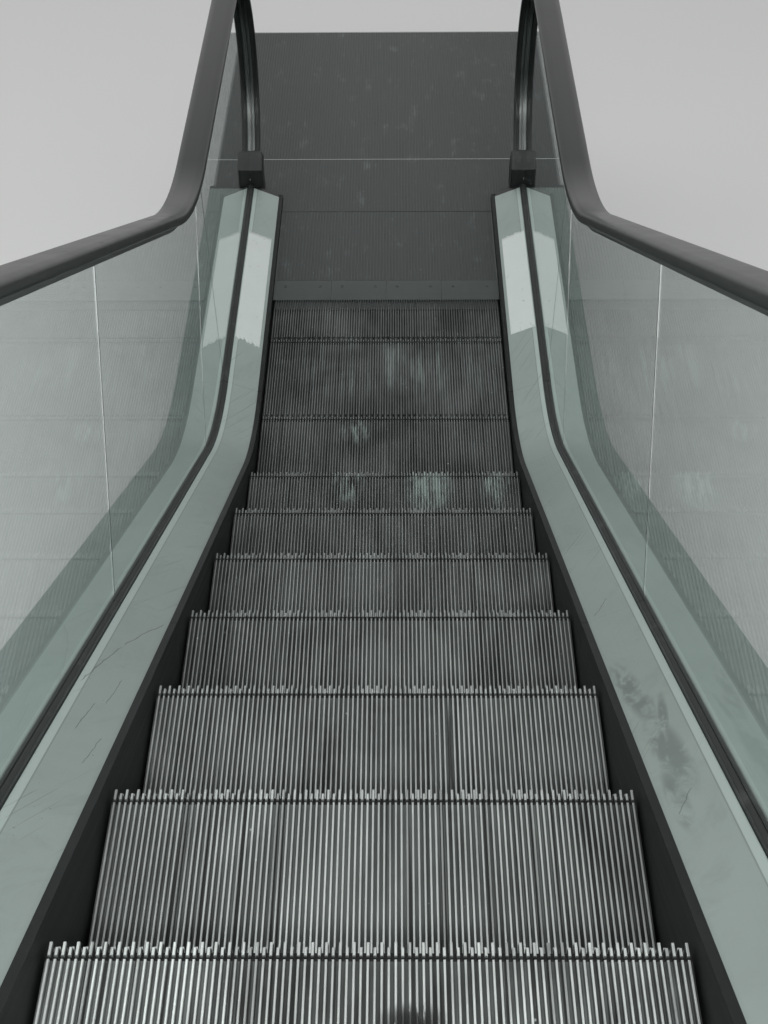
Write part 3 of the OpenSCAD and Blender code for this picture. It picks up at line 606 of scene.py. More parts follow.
def step_finish():
    """Worn aluminium over grooves with dust in them, with streaks, blotches and a few marks, painted
    lighter up the flight and darker towards its foot, with painted shade between the cleats' tips.

    A mark is a soft ellipse, 1 - smoothstep of ((x - x0) / a)^2 + ((y - y0) / b)^2, broken by noise.
    """
    c = colours()
    sh = painted_in("worn_step_aluminium")
    x, y = sh.axis("X"), sh.axis("Y")
    depth = sh.depth().step(0.10, 0.75)
    painted_shade_between_tips = sh.depth().step(0.8, 1.5)
    patches = sh.noise((3.4, 2.55, 2.55), 5.0, 0.62, 0.5)
    streaks = sh.noise((70.0, 4.0, 4.0), 4.0, 0.6)
    fine = sh.noise(300.0, 3.0, 0.6)
    rows = sh.noise((116.7, 0.9, 0.9), 1.0, 0.5)
    ragged = sh.noise((70.0, 16.0, 16.0), 5.0, 0.7)

    def mark(place, reach, low, high):
        spread = ((x - place[0]) / reach[0]) ** 2 + ((y - place[1]) / reach[1]) ** 2
        return (1.0 - spread.step(0.0, 1.0)) * ragged.step(low, high)

    # Pale dust lies in streaky smears on one step near the foot of the flight
    dust = mark((-0.130, 3.17), (0.085, 0.13), 0.34, 0.60)
    for place, reach in (
            ((0.105, 3.13), (0.055, 0.14)), ((-0.330, 3.17), (0.060, 0.10)),
            ((0.095, 2.80), (0.060, 0.07))):
        dust = dust.larger(mark(place, reach, 0.42, 0.66))
    # On the lowest steps it has run down in drips
    drips = sh.noise((48.0, 2.6, 2.6), 4.0, 0.6).step(0.52, 0.68)
    drips = drips * (1.0 - ((y - 2.46) / 0.24).absolute().step(0.2, 1.0)) * patches.step(0.40, 0.60)
    # A clump of dirt sits in the grooves of a step, and another one has a black groove
    clump = mark((-0.055, 5.315), (0.050, 0.030), 0.40, 0.48)
    black = mark((-0.1285, 4.66), (0.0032, 0.16), 0.20, 0.30)
    # Painted light: the steps nearer the head of the flight are painted brighter and the nearest one
    # brightest, and painted shade darkens the steps and their grooves towards the foot
    painted_light_up_flight = y.step(3.4, 5.3)
    foot = 1.0 - y.step(2.3, 3.9)
    wear_and_shade = ((patches - 0.42) * 2.2 + (streaks - 0.5) * 1.1 + 0.42 - foot * 0.25).clamped()
    dust_and_shade = ((patches - 0.45) * 3.2 + (rows - 0.5) * 1.5 + (streaks - 0.5) * 0.9 + 0.42 - foot * 0.22)
    painted_light_nearest_step = sh.mix(y.step(5.0, 5.35), scaled(c.step, 1.35), scaled(c.step, 1.85))
    top = sh.mix(painted_light_up_flight, sh.mix(wear_and_shade, scaled(c.step, 0.26), scaled(c.step, 0.62)),
                 sh.mix(wear_and_shade, scaled(c.step, 0.60), painted_light_nearest_step))
    top = sh.mix(rows.step(0.60, 0.68) * 0.5, top, scaled(c.step, 0.24))
    # Dirt in the grooves, with painted shade towards the foot and black painted shade between the cleats'
    # tips
    grime_and_shade = sh.layered(
        sh.mix(dust_and_shade.clamped(), scaled(c.step_dirt, 0.25), scaled(c.step_dirt, 2.2)),
        (rows.step(0.62, 0.68) * 0.8, (0.012, 0.013, 0.013)),
        (painted_shade_between_tips, (0.006, 0.006, 0.006)))
    base = sh.layered(
        sh.mix(depth, top, grime_and_shade),
        ((dust * 0.7).larger(drips * 0.35), (0.48, 0.58, 0.55)),
        (clump.larger(black) * 0.92, (0.012, 0.012, 0.012)),
        (sh.specks(26.0, (0.03, 0.075), 7.0, (0.54, 0.60)) * 0.8, (0.60, 0.66, 0.64)))
    rough = (0.36 + patches * 0.20 + fine * 0.10 + depth * 0.3).clamped()
    metal = ((1.0 - depth) * 0.78 - dust * 0.6).clamped()
    return sh.finish(base, rough, (fine, 0.14, 0.0006), {"Metallic": metal})


def cast_finish(name, shade, metallic):
    """Cast or rolled metal with dull patches, fine grain and dirt where depth says so."""
    sh = painted_in(name)
    depth = sh.depth()
    patches = sh.noise(5.0, 5.0, 0.6)
    grain = sh.noise(320.0, 3.0, 0.6)
    rub = sh.noise((40.0, 6.0, 6.0), 4.0, 0.6)
    base = sh.mix((patches * 0.6 + rub * 0.5 - 0.2).clamped(), scaled(shade, 0.7), scaled(shade, 1.2))
    base = sh.mix(depth.step(0.1, 0.8), base, (0.05, 0.05, 0.05))
    return sh.finish(base, 0.36 + patches * 0.22 + grain * 0.08, (grain, 0.2, 0.0005),
                     {"Metallic": (metallic - depth * metallic).clamped()})


def plate_finish():
    """Dark ribbed plates: walked paler along the middle, scuffed, with specks and dirty grooves."""
    c = colours()
    sh = painted_in("dark_floor_plate")
    depth = sh.depth()
    walked = 1.0 - sh.axis("X").absolute().step(0.12, 0.55)
    patches = sh.noise(4.0, 5.0, 0.62)
    scuff = sh.noise((16.0, 7.0, 7.0), 6.0, 0.7).step(0.55, 0.75)
    base = sh.layered(
        sh.mix((patches * 0.9 + walked * 0.3 - 0.25).clamped(), scaled(c.plate, 0.55),
               scaled(c.plate, 1.55)),
        (scuff * 0.30, (0.30, 0.34, 0.335)),
        (sh.specks(42.0, (0.03, 0.09), 9.0, (0.5, 0.62)) * 0.75, (0.48, 0.52, 0.50)),
        (depth * 0.6, (0.018, 0.02, 0.02)))
    return sh.finish(base, 0.38 + patches * 0.3, (sh.noise(240.0, 3.0), 0.2, 0.0005),
                     {"Metallic": (0.45 - depth * 0.4).clamped()})


def skirt_finish():
    """Black low-friction coating, scuffed in streaks along the flight."""
    sh = painted_in("black_skirt_coating")
    streaks = sh.noise((3.0, 2.0, 60.0), 5.0, 0.65, turn=(-sizes().incline, 0.0, 0.0))
    base = sh.layered(
        sh.mix(streaks.step(0.52, 0.85) * 0.5, colours().skirt, (0.050, 0.056, 0.055)),
        (sh.noise(2.2, 4.0) * 0.35, (0.018, 0.020, 0.020)))
    return sh.finish(base, 0.40 + streaks * 0.28, (streaks, 0.10, 0.0005), {"Specular IOR Level": 0.20})


def deck_finish():
    """Satin grey-green sheet: smears, finger marks, thin scratches, and a painted highlight by the glass
    beyond a thin line of painted shade.

    A smear is a soft ellipse, 1 - smoothstep of ((x - x0 - k (y - y0)) / a)^2 + ((y - y0) / b)^2,
    broken by noise. A scratch is a thin band along a straight line: its distance from the line is
    the length of (p - start) x direction, and it fades at both ends.
    """
    c = colours()
    sh = painted_in("satin_deck_sheet")
    x, y = sh.axis("X"), sh.axis("Y")
    brushed = sh.noise((260.0, 2.2, 60.0), 3.0, 0.5, turn=(-sizes().incline, 0.0, 0.0))
    patches = sh.noise(2.2, 6.0, 0.62, 0.5)
    cloud = sh.noise((13.0, 6.0, 6.0), 6.0, 0.66, 0.8, turn=(0.0, 0.0, 0.5))
    ragged = sh.noise((34.0, 15.0, 15.0), 5.0, 0.6, 0.7)
    wander = x + (sh.noise(16.0, 3.0) - 0.5) * 0.016

    def smear(place, lean, reach):
        off = y - place[1]
        spread = ((x - place[0] - off * lean) / reach[0]) ** 2 + (off / reach[1]) ** 2
        return (1.0 - spread.step(0.1, 1.0)) * ragged.step(0.36, 0.56)

    def scratch(start, end, half):
        run = np.subtract(end, start)
        run = run / (run @ run)
        heading = run / math.hypot(*run)
        off_x, off_y = wander - start[0], y - start[1]
        across = (off_x * heading[1] - off_y * heading[0]).absolute()
        along = off_x * run[0] + off_y * run[1]
        return (1.0 - across.step(half * 0.4, half)) * along.step(0.0, 0.1) * (1.0 - along.step(0.9, 1.0))

    # Greasy finger marks darken a stretch of one deck, a short way up the flight
    marks = smear((-0.443, 4.60), -0.10, (0.025, 0.15))
    for place, lean, reach in (
            ((-0.458, 4.80), -0.05, (0.029, 0.14)), ((-0.442, 4.93), 0.0, (0.017, 0.10)),
            ((-0.470, 4.70), 0.15, (0.010, 0.09))):
        marks = marks.larger(smear(place, lean, reach))
    # One long scratch crosses the other deck, and short ones lie on both
    scratches = scratch((0.424, 4.29), (0.474, 4.43), 0.0011)
    for start, end, half in (
            ((0.474, 4.43), (0.508, 4.60), 0.0011), ((0.450, 4.55), (0.453, 4.65), 0.0008),
            ((0.470, 4.65), (0.480, 4.75), 0.0008), ((0.437, 4.75), (0.448, 4.84), 0.0008),
            ((-0.431, 4.26), (-0.467, 4.19), 0.0009), ((-0.433, 4.97), (-0.467, 4.91), 0.0009)):
        scratches = scratches.larger(scratch(start, end, half))
    crest = sh.noise((340.0, 2.6, 2.6), 1.0, 0.4, turn=(0.3, 0.0, 0.55)).step(0.665, 0.715)
    scratches = scratches.larger(crest * sh.noise(3.0, 2.0).step(0.50, 0.60) * 0.55)
    # The sheet is folded at the glass: a painted highlight pales its edge there, beyond a thin line of
    # painted shade
    side = x.absolute()
    painted_highlight_band = side.step(CLAMP_IN - 0.0145, CLAMP_IN - 0.0135) * (1.0 - side.step(CLAMP_IN, CLAMP_IN + 0.002))
    painted_shade_line = 1.0 - ((side - CLAMP_IN + 0.0152) / 0.0014).absolute().step(0.5, 1.0)
    middle, reach = (DECK_LOW_Y + DECK_HIGH_Y) / 2, (DECK_HIGH_Y - DECK_LOW_Y) / 2
    ends = (y - middle).absolute().step(reach - 0.016, reach - 0.015)
    base = sh.layered(
        sh.mix((patches * 1.5 - 0.30).clamped(), scaled(c.deck, 0.84), scaled(c.deck, 1.12)),
        (cloud.step(0.50, 0.75) * 0.35, scaled(c.deck, 0.66)),
        (painted_highlight_band * 0.6, scaled(c.deck, 1.6)),
        (painted_shade_line * 0.45, scaled(c.deck, 0.45)),
        (marks * 0.60, scaled(c.deck, 0.38)),
        (scratches * 0.75, scaled(c.deck, 0.25)),
        (sh.specks(60.0, (0.03, 0.10), 6.0, (0.58, 0.64)) * 0.7, (0.045, 0.05, 0.048)),
        (ends, (0.010, 0.010, 0.011)))
    rough = 0.30 + brushed * 0.10 + cloud * 0.12 + marks * 0.14 + patches * 0.10
    return sh.finish(base, rough, (brushed, 0.05, 0.0006), {"Metallic": 0.30})


def plain_finish(name, shade, rough, metallic=0.0, grain_scale=180.0):
    """A dark profile or moulding with fine grain and a little dust in patches."""
    sh = painted_in(name)
    patches = sh.noise(6.0, 4.0)
    grain = sh.noise(grain_scale, 3.0)
    base = sh.layered(
        sh.mix(patches * 0.6, scaled(shade, 0.8), scaled(shade, 1.35)),
        (sh.noise(14.0, 5.0, 0.65).step(0.56, 0.78) * 0.12, (0.30, 0.31, 0.30)))
    return sh.finish(base, rough + patches * 0.14 + grain * 0.06, (grain, 0.15, 0.0004),
                     {"Metallic": metallic})


def drawn_steel_finish(name, shade):
    """Stainless profile with draw lines along its length."""
    sh = painted_in(name)
    lines = sh.noise((600.0, 3.0, 3.0), 3.0, 0.5)
    patches = sh.noise(8.0, 4.0)
    base = sh.mix(patches, scaled(shade, 0.8), scaled(shade, 1.12))
    return sh.finish(base, 0.20 + lines * 0.12 + patches * 0.10, (lines, 0.12, 0.0003), {"Metallic": 1.0})


def glass_finish():
    """Clear glass with faint smears; shadow and diffuse rays pass through it."""
    sh = painted_in("clear_balustrade_glass")
    smear = sh.noise(3.0, 5.0, 0.6, 0.8).step(0.52, 0.85)
    spots = sh.specks(30.0, (0.02, 0.06), 4.0, (0.55, 0.65))
    base = sh.mix(spots * 0.5, colours().glass, (0.75, 0.80, 0.78))
    return sh.finish(base, smear * 0.05 + spots * 0.25, None,
                     {"IOR": 1.5, "Transmission Weight": 1.0}, sh.ray("Shadow", "Diffuse"))


def rubber_finish():
    """Black handrail rubber, polished by hands, with dull patches and pale scuffs."""
    sh = painted_in("handrail_rubber")
    patches = sh.noise(9.0, 5.0, 0.6)
    scuff = sh.noise((30.0, 5.0, 5.0), 5.0, 0.65).step(0.60, 0.80)
    base = sh.layered(
        sh.mix(patches * 0.6, colours().rail, (0.015, 0.018, 0.017)),
        (scuff * 0.18, (0.08, 0.095, 0.09)))
    return sh.finish(base, 0.24 + patches * 0.14 + scuff * 0.16, (sh.noise(420.0, 3.0), 0.10, 0.0003),
                     {"Specular IOR Level": 0.30})


def panel_finish():
    """Satin sheet panels, brushed along their length, with faint streaks running down."""
    c = colours()
    sh = painted_in("satin_side_panel")
    brushed = sh.noise((2.0, 2.0, 240.0), 3.0, 0.5, turn=(-sizes().incline, 0.0, 0.0))
    runs = sh.noise((9.0, 9.0, 0.5), 4.0, 0.6)
    base = sh.layered(
        sh.mix(sh.noise(1.6, 4.0), scaled(c.panel, 0.92), scaled(c.panel, 1.08)),
        (runs.step(0.55, 0.85) * 0.25, scaled(c.panel, 0.72)))
    return sh.finish(base, 0.32 + brushed * 0.12 + runs * 0.10, (brushed, 0.10, 0.0004),
                     {"Metallic": 0.30})


def strip_finish():
    """A plain white film, rubbed through in a few places."""
    c = colours()
    sh = painted_in("worn_white_film")
    rub = sh.noise((50.0, 26.0, 26.0), 6.0, 0.7, 0.8)
    base = sh.layered(
        sh.mix(sh.noise(12.0, 5.0) * 0.35, c.strip, scaled(c.strip, 0.78)),
        (rub.step(0.60, 0.70) * 0.45, (0.34, 0.40, 0.38)))
    return sh.finish(base, 0.42 + rub * 0.2, (rub, 0.12, 0.0004))


# Pieces


def prism(outline, x0, x1):
    """A plate from x0 to x1 with an outline of (y, z) points, as two rings."""
    points = np.zeros((2, len(outline), 3))
    points[0, :, 0], points[1, :, 0] = x0, x1
    points[..., 1:] = outline
    return points


def block(low, high):
    """A box between two corners, as two rings."""
    (x0, y0, z0), (x1, y1, z1) = low, high
    return prism([(y0, z0), (y1, z0), (y1, z1), (y0, z1)], x0, x1)


def turned(profile, y, z, sides=32):
    """Turns (x, r) points about the line through (y, z) along x: (x, y + r cos a, z + r sin a)."""
    x, r = np.transpose(profile)[..., None]
    a = np.linspace(0, 2 * math.pi, sides, endpoint=False)
    return np.stack(np.broadcast_arrays(x, y + r * np.cos(a), z + r * np.sin(a)), -1)


# How deep each point of a cleat's section lies, from foot to foot
CLEAT_DEPTH = np.array([1.0, 0.12, 0.0, 0.0, 0.12, 1.0])


def cleats(x, low_y, high_y, half, height):
    """Straight cleats along y: tubes of two rings of six points.

    The section is foot, shoulder, top, top, shoulder, foot, a little wider at the foot than at the
    top. low_y and high_y may differ from cleat to cleat.
    """
    bevel = 0.6 * MM
    foot = half * 1.25
    points = np.zeros((len(x), 2, 6, 3))
    points[..., 0] = x[:, None, None] + (-foot, -half, -half + bevel, half - bevel, half, foot)
    points[:, 0, :, 1] += np.reshape(low_y, (-1, 1))
    points[:, 1, :, 1] += np.reshape(high_y, (-1, 1))
    points[..., 2] = (-height, -bevel, 0.0, 0.0, -bevel, -height)
    # The upper edge of each end leans back a little, so the tips look broken and not sharp
    points[:, 0, 2:4, 1] += bevel
    points[:, 1, 2:4, 1] -= bevel
    return points


def cleat_places():
    """The middles of the cleats across a tread."""
    s = sizes()
    return (np.arange(s.cleat_count) - (s.cleat_count - 1) / 2) * s.cleat_pitch


def one_step():
    """A step with its nose at the origin: cleats, their base and the cleated riser.

    The riser's cleats follow an arc about the tread's rear edge: (tread - r cos a, -r sin a).
    """
    s = sizes()
    step = Surface()
    tread = s.step_pitch - s.step_gap
    valley, top, inner = tread - 9.5 * MM, tread - 1 * MM, tread - 15.5 * MM
    half, height, groove = s.cleat_width / 2, s.cleat_height, 4 * MM
    places = cleat_places()
    short = np.where(np.arange(s.cleat_count) % 2 == 1, s.nose_short, 0.0)
    # The cleats' tips are broader, and painted shade makes what lies between them black: a depth of 2
    # marks it
    for low_y, high_y, broad, dirt in (
            (short, s.nose_groove - groove / 2, 1.2, 2.0),
            (s.nose_groove + groove / 2, tread - short / 2, 1.0, 1.0)):
        step.tubes(cleats(places, low_y, high_y, half * broad, height), CLEAT_DEPTH * dirt)
    for low_y, high_y, dirt in ((tread - valley, s.nose_groove, 2.0), (s.nose_groove, tread, 1.0)):
        step.tubes(block((-STEP_HALF, low_y, -height - 8 * MM), (STEP_HALF, high_y, -height)), dirt)
    across = places[:, None] + np.array([-half * 1.25, -half, half, half * 1.25])
    across = np.concatenate([[-STEP_HALF], across.ravel(), [STEP_HALF, STEP_HALF, -STEP_HALF]])
    radius = np.tile([valley, top, top, valley], s.cleat_count)
    radius = np.concatenate([[valley], radius, [valley, inner, inner]])
    a = np.linspace(1.7, 33.0, 9)[:, None] * RAD
    riser = (across, tread - radius * np.cos(a), -radius * np.sin(a))
    return step.tubes(np.stack(np.broadcast_arrays(*riser), -1), np.where(radius == top, 0.0, 1.0))


def running_gear():
    """Under each step: two brackets, the chain axle with its rollers and the trailing rollers."""
    s = sizes()
    gear = Surface()
    tread = s.step_pitch - s.step_gap
    chain = (tread - 0.008, -0.100)
    trail = (0.110, chain[1] - (chain[0] - 0.110) * math.tan(s.incline))
    arc = np.linspace(2, 32, 7) * RAD
    radius = tread - 0.011
    front = np.stack([tread - radius * np.cos(arc), -radius * np.sin(arc)], -1)
    outline = np.concatenate([front, [
        (trail[0] - 0.020, trail[1] - 0.012), (trail[0], trail[1] - 0.022),
        (trail[0] + 0.022, trail[1] - 0.008), (chain[0] - 0.012, chain[1] - 0.018),
        (chain[0] + 0.006, chain[1] - 0.018), (chain[0] + 0.006, chain[1] + 0.010),
        (tread - 0.014, -0.019), (tread - 0.014, -0.014)]])
    bracket_x, roller, hub = STEP_HALF - 0.030, 0.038, 0.012
    chain_x, trail_x, width = SKIRT_OUT_FOOT + 0.008, STEP_HALF - 0.078, 0.024
    gear.tubes(prism(outline, bracket_x, bracket_x + 0.008), 0.6)
    for x, place in ((chain_x, chain), (trail_x, trail)):
        profile = [(0, 0.020), (0, roller - 0.003), (0.003, roller), (width - 0.003, roller),
                   (width, roller - 0.003), (width, 0.020), (width - 0.004, 0.018)]
        gear.tubes(turned(np.add(profile, (x, 0.0)), *place), 0.5)
    gear.tubes(turned([(trail_x + 0.004, hub), (bracket_x + 0.002, hub)], *trail, 16), 0.5)
    gear.mirrored()
    return gear.tubes(turned([(-chain_x - 0.004, hub), (chain_x + 0.004, hub)], *chain, 16), 0.5)


def comb_teeth(places, half):
    """Comb teeth along y from the comb's root, at y = 0, to their tips.

    Each tooth is a tube of seven rings: its top falls from the comb's slope to the tread, its foot
    rises towards the tip, and its half width shrinks by a fifth and then rounds off.
    """
    top = np.array([8.6, 7.0, 5.0, 3.0, 1.8, 0.4, -2.2]) * MM
    foot = np.array([-8.5, -8.5, -8.0, -6.8, -5.8, -4.8, -3.6]) * MM
    width = half * np.array([1.0, 0.97, 0.92, 0.86, 0.80, 0.66, 0.30])
    bevel = np.minimum(0.6 * MM, width * 0.4)
    points = np.zeros((len(places), len(width), 6, 3))
    points[..., 0] = places[:, None, None] + np.stack(
        [-width, -width, -width + bevel, width - bevel, width, width], -1)
    points[..., 1] = np.array([-4.0, 10.0, 25.0, 38.0, 43.0, 45.3, 46.0])[:, None] * MM
    points[..., 2] = np.stack([foot, top - bevel, top, top, top - bevel, foot], -1)
    return points


def screw(x, y, z, radius):
    """A pan-headed screw with a hexagon socket, standing on a face at height z.

    Rings of radius r at height h about the z axis; the socket's ring has six corners.
    """
    a = np.linspace(0, 2 * math.pi, 24, endpoint=False)
    hexagon = 0.42 / np.cos(np.abs((a + math.pi / 6) % (math.pi / 3) - math.pi / 6))
    rings = [(reach * np.cos(a) * radius + x, reach * np.sin(a) * radius + y, height + z)
             for reach, height in ((1.0, 0.0), (1.0, 1.0 * MM), (0.86, 1.8 * MM),
                                   (hexagon, 1.8 * MM), (hexagon, 0.2 * MM))]
    return np.stack([np.stack(np.broadcast_arrays(*ring), -1) for ring in rings])


def comb_piece():
    """A comb about its root line: segments with a sloped front, teeth and pan-headed screws."""
    s = sizes()
    comb = Surface()
    places = (cleat_places()[:-1] + cleat_places()[1:]) / 2
    comb.tubes(comb_teeth(places, (s.cleat_pitch - s.cleat_width) * 0.34),
               (0.9, 0.1, 0.0, 0.0, 0.1, 0.9))
    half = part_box("comb_lower")[1].x
    cuts = np.array([-half, *(places[[23, 46, 69]] - s.cleat_pitch / 2), half])
    body = [(-COMB_BODY, 0.001), (0.0, 0.001), (0.0, 0.0080), (-0.033, PLATE_LIFT - 0.0008),
            (-0.036, PLATE_LIFT), (-COMB_BODY + 0.001, PLATE_LIFT), (-COMB_BODY, PLATE_LIFT - 0.001)]
    for x0, x1 in zip(cuts[:-1], cuts[1:]):
        comb.tubes(prism(body, x0 + 0.0004, x1 - 0.0004))
        for share in (0.2, 0.8):
            comb.tubes(screw(x0 + (x1 - x0) * share, -0.075, PLATE_LIFT, 0.0065),
                       np.array([0.4, 0.1, 0.0, 0.3, 1.0])[:, None])
    return comb


def ribbed(surface, half, y0, y1, thick):
    """Adds a plate from y0 to y1, as wide as half on each side, whose top has ribs along y.

    The ribs stand on a fixed raster about x = 0, so the ribs of neighbouring plates line up.
    """
    pitch, flat, lean, deep, bevel = 11.5 * MM, 5.2 * MM, 0.9 * MM, 1.6 * MM, 0.6 * MM
    last = math.floor((half - flat) / pitch)
    offsets = np.array([-flat / 2 - lean, -flat / 2, flat / 2, flat / 2 + lean])
    ribs = (np.arange(-last, last + 1)[:, None] * pitch + offsets).ravel()
    x = np.concatenate([[-half, -half, bevel - half], ribs, [half - bevel, half, half]])
    z = np.tile([-deep, 0.0, 0.0, -deep], 2 * last + 1)
    z = np.concatenate([[-thick, -bevel, 0.0], z, [0.0, -bevel, -thick]]) + PLATE_LIFT
    depth = np.tile([1.0, 0.0, 0.0, 1.0], 2 * last + 1)
    depth = np.concatenate([[0.5, 0.0, 0.0], depth, [0.0, 0.0, 0.5]])
    rings = (x, np.array([[y0], [y1]]), z)
    return surface.tubes(np.stack(np.broadcast_arrays(*rings), -1), depth)


def deck_profile():
    """The inner deck's section: a sloping sheet with rounded edges, turned down at the glass."""
    s = sizes()
    low, high = s.skirt_top + DECK_SHEET, s.skirt_top + s.deck_rise + DECK_SHEET
    foot = high - DECK_SHEET - 0.022
    corners = [(DECK_IN - 0.006, s.skirt_top), (DECK_IN - 0.001, low), (CLAMP_IN, high), (CLAMP_IN, foot),
               (CLAMP_IN - 0.003, foot), (CLAMP_IN - 0.003, high - 0.0048), (DECK_IN, s.skirt_top)]
    return rounded(corners, [0.0008, 0.003, 0.004, 0.0006, 0.0006, 0.002, 0.0006], 5)


def outer_deck_profile():
    """The outer deck's section: a level sheet that turns down at the side and at the glass."""
    top = CLAMP_TOP - 0.004
    foot = top - 0.044
    corners = [(CLAMP_OUT, top), (SIDE_X, top), (SIDE_X, foot), (SIDE_X - 0.003, foot),
               (SIDE_X - 0.003, top - 0.003), (CLAMP_OUT + 0.003, top - 0.003),
               (CLAMP_OUT + 0.003, top - 0.022), (CLAMP_OUT, top - 0.022)]
    return rounded(corners, [0.0015, 0.005, 0.0006, 0.0006, 0.003, 0.001, 0.0006, 0.0006], 5)


def clamp_profile():
    """The clamp's section: a U round the foot of the glass, its upper corners rounded."""
    foot = CLAMP_TOP - 0.092
    seat = CLAMP_TOP - 0.080
    corners = [(CLAMP_IN, foot), (CLAMP_IN, CLAMP_TOP), (GLASS_IN, CLAMP_TOP), (GLASS_IN, seat),
               (GLASS_OUT, seat), (GLASS_OUT, CLAMP_TOP), (CLAMP_OUT, CLAMP_TOP), (CLAMP_OUT, foot)]
    return rounded(corners, [0.0006, 0.002, 0.0006, 0.0002, 0.0002, 0.0006, 0.002, 0.0006], 4)


def gasket_profile(face, side):
    """A wedge of rubber against one face of the glass, on top of the clamp."""
    wedge = np.array([(0.0, -1.0), (0.0, 4.5), (2.5, 4.0), (7.2, 0.6), (7.5, -1.0)]) * MM
    return wedge * (side, 1.0) + (face, CLAMP_TOP)


def handrail_profile():
    """The handrail's section: a crowned C that closes round its guide.

    The outside is an oval with rounded lips; the inside is a T slot.
    """
    s = sizes()
    half, deep = s.rail_width / 2, s.rail_thick
    slot, mouth = half - 0.013, half - 0.021
    corners = [(-half + 0.016, -0.0004), (-0.0005, 0.0), (half - 0.016, -0.0004), (half, -0.0058),
               (half, -deep + 0.004), (half - 0.006, -deep), (mouth, -deep), (mouth, -0.018),
               (slot, -0.018), (slot, -0.010), (-slot, -0.010), (-slot, -0.018), (-mouth, -0.018),
               (-mouth, -deep), (-half + 0.006, -deep), (-half, -deep + 0.004), (-half, -0.0058)]
    reach = [0.006, 0.004, 0.006, 0.007, 0.006, 0.004, 0.002, *[0.001] * 6, 0.002, 0.004, 0.006, 0.007]
    return rounded(corners, reach, 5) + (RAIL_X, 0.0)


def mouth_ring(half_x, half_r, radius, turn):
    """A rounded rectangle square to the handrail at a turn about the newel's centre.

    Its points are (x, -r sin turn, r cos turn), on four quarter circles.
    """
    s = sizes()
    a = np.linspace(0, math.pi / 2, 8)[None] + np.arange(4)[:, None] * math.pi / 2
    out_x = np.array([1, -1, -1, 1])[:, None] * (half_x - radius)
    out_r = np.array([1, 1, -1, -1])[:, None] * (half_r - radius)
    x = (RAIL_X + out_x + radius * np.cos(a)).ravel()
    r = (s.newel_radius - s.rail_thick / 2 + out_r + radius * np.sin(a)).ravel()
    return np.stack([x, -r * math.sin(turn), r * math.cos(turn)], -1)


def inlet_outline(mouth):
    """The inlet from the side, about the newel's centre, anticlockwise from the deck's foot."""
    s = sizes()
    (centre_y, centre_z), _ = newel_centres()
    inner, outer = s.newel_radius - 0.058, s.newel_radius + 0.014
    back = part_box("balustrade_ends_lower")[0].y - 0.0003 - centre_y
    foot = LOW_Z + PLATE_LIFT + 0.0003 - centre_z
    turn = np.linspace(math.pi - math.asin(-back / inner), mouth, 5)
    lip = np.array([mouth, mouth + 5 * RAD])
    chin = -outer * math.sin(mouth) + 0.022
    corners = [(back, foot), *zip(-inner * np.sin(turn), inner * np.cos(turn)),
               *zip(-outer * np.sin(lip), outer * np.cos(lip)), (chin, foot)]
    return rounded(corners, [0.001, 0.003, 0.02, 0.02, 0.02, 0.010, 0.007, 0.016, 0.004], 5)


def inlet_piece():
    """A handrail inlet: a moulding with rounded sides, and a collar round the handrail's mouth.

    Its side is drawn in by e (1 - cos t) at e (1 - sin t) from its face, for t from 0 to 90 degrees.
    """
    s = sizes()
    mouth = s.newel_turn - s.inlet_turn
    outline = inlet_outline(mouth)
    along = np.roll(outline, -1, axis=0) - np.roll(outline, 1, axis=0)
    normal = np.stack([along[:, 1], -along[:, 0]], -1) / np.linalg.norm(along, axis=1)[:, None]
    t = np.linspace(0, math.pi / 2, 6)
    half, edge = s.rail_width / 2 + 0.012, 0.011
    x = np.concatenate([-half + edge * (1 - np.sin(t[::-1])), half - edge * (1 - np.sin(t))])
    drawn = edge * (1 - np.cos(np.concatenate([t[::-1], t])))
    points = np.zeros((len(x), len(outline), 3))
    points[..., 0] = RAIL_X + x[:, None]
    points[..., 1:] = outline - normal * drawn[:, None, None]
    rings = np.stack([
        mouth_ring(half_x * MM, half_r * MM, radius * MM, mouth + lean * RAD)
        for half_x, half_r, radius, lean in (
            (42.5, 16.5, 10, 1.2), (42.5, 16.5, 10, -0.6), (44.0, 18.0, 11, -0.9),
            (46.5, 20.5, 13, -0.9), (48.0, 22.0, 14, -0.6), (48.0, 22.0, 14, 1.2))])
    inside = np.array([1.0, 1.0, 0.0, 0.0, 0.0, 0.0])[:, None]
    return Surface().tubes(points).tubes(rings, inside, closed=True)


def film(start, end, side, torn):
    """A thin film on an inner deck between two distances along the step path.

    It runs up the deck's slope and follows its bend. Its two ends are ragged by sines of the place u
    across it: torn * (0.6 sin 5u + 0.5 sin 17u + 0.45 sin 37u), with torn given for each end.
    """
    s = sizes()
    u = np.linspace(0, 1, 61)
    x = DECK_IN + 0.004 + u * (CLAMP_IN - DECK_IN - 0.008)
    d = s.skirt_top + DECK_SHEET + (x - DECK_IN) / (CLAMP_IN - DECK_IN) * s.deck_rise
    ragged = 0.6 * np.sin(5 * u + 0.8) + 0.5 * np.sin(17 * u) + 0.45 * np.sin(37 * u + 1.1)
    v = np.linspace(0, 1, 33)[:, None]
    place = (start + torn[0] * ragged) * (1 - v) + (end + torn[1] * ragged) * v
    path = StepPath()
    (y, z), turn = path.at(place), path.heading(place)
    under, over = (
        np.stack([np.broadcast_to(side * x, y.shape), y - (d + lift) * np.sin(turn),
                  z + (d + lift) * np.cos(turn)], -1)
        for lift in (0.2 * MM, 0.8 * MM))
    # Each ring runs up the film on top and back below it
    return Surface().tubes(np.concatenate([over, under[::-1]]).transpose(1, 0, 2))


# Operators


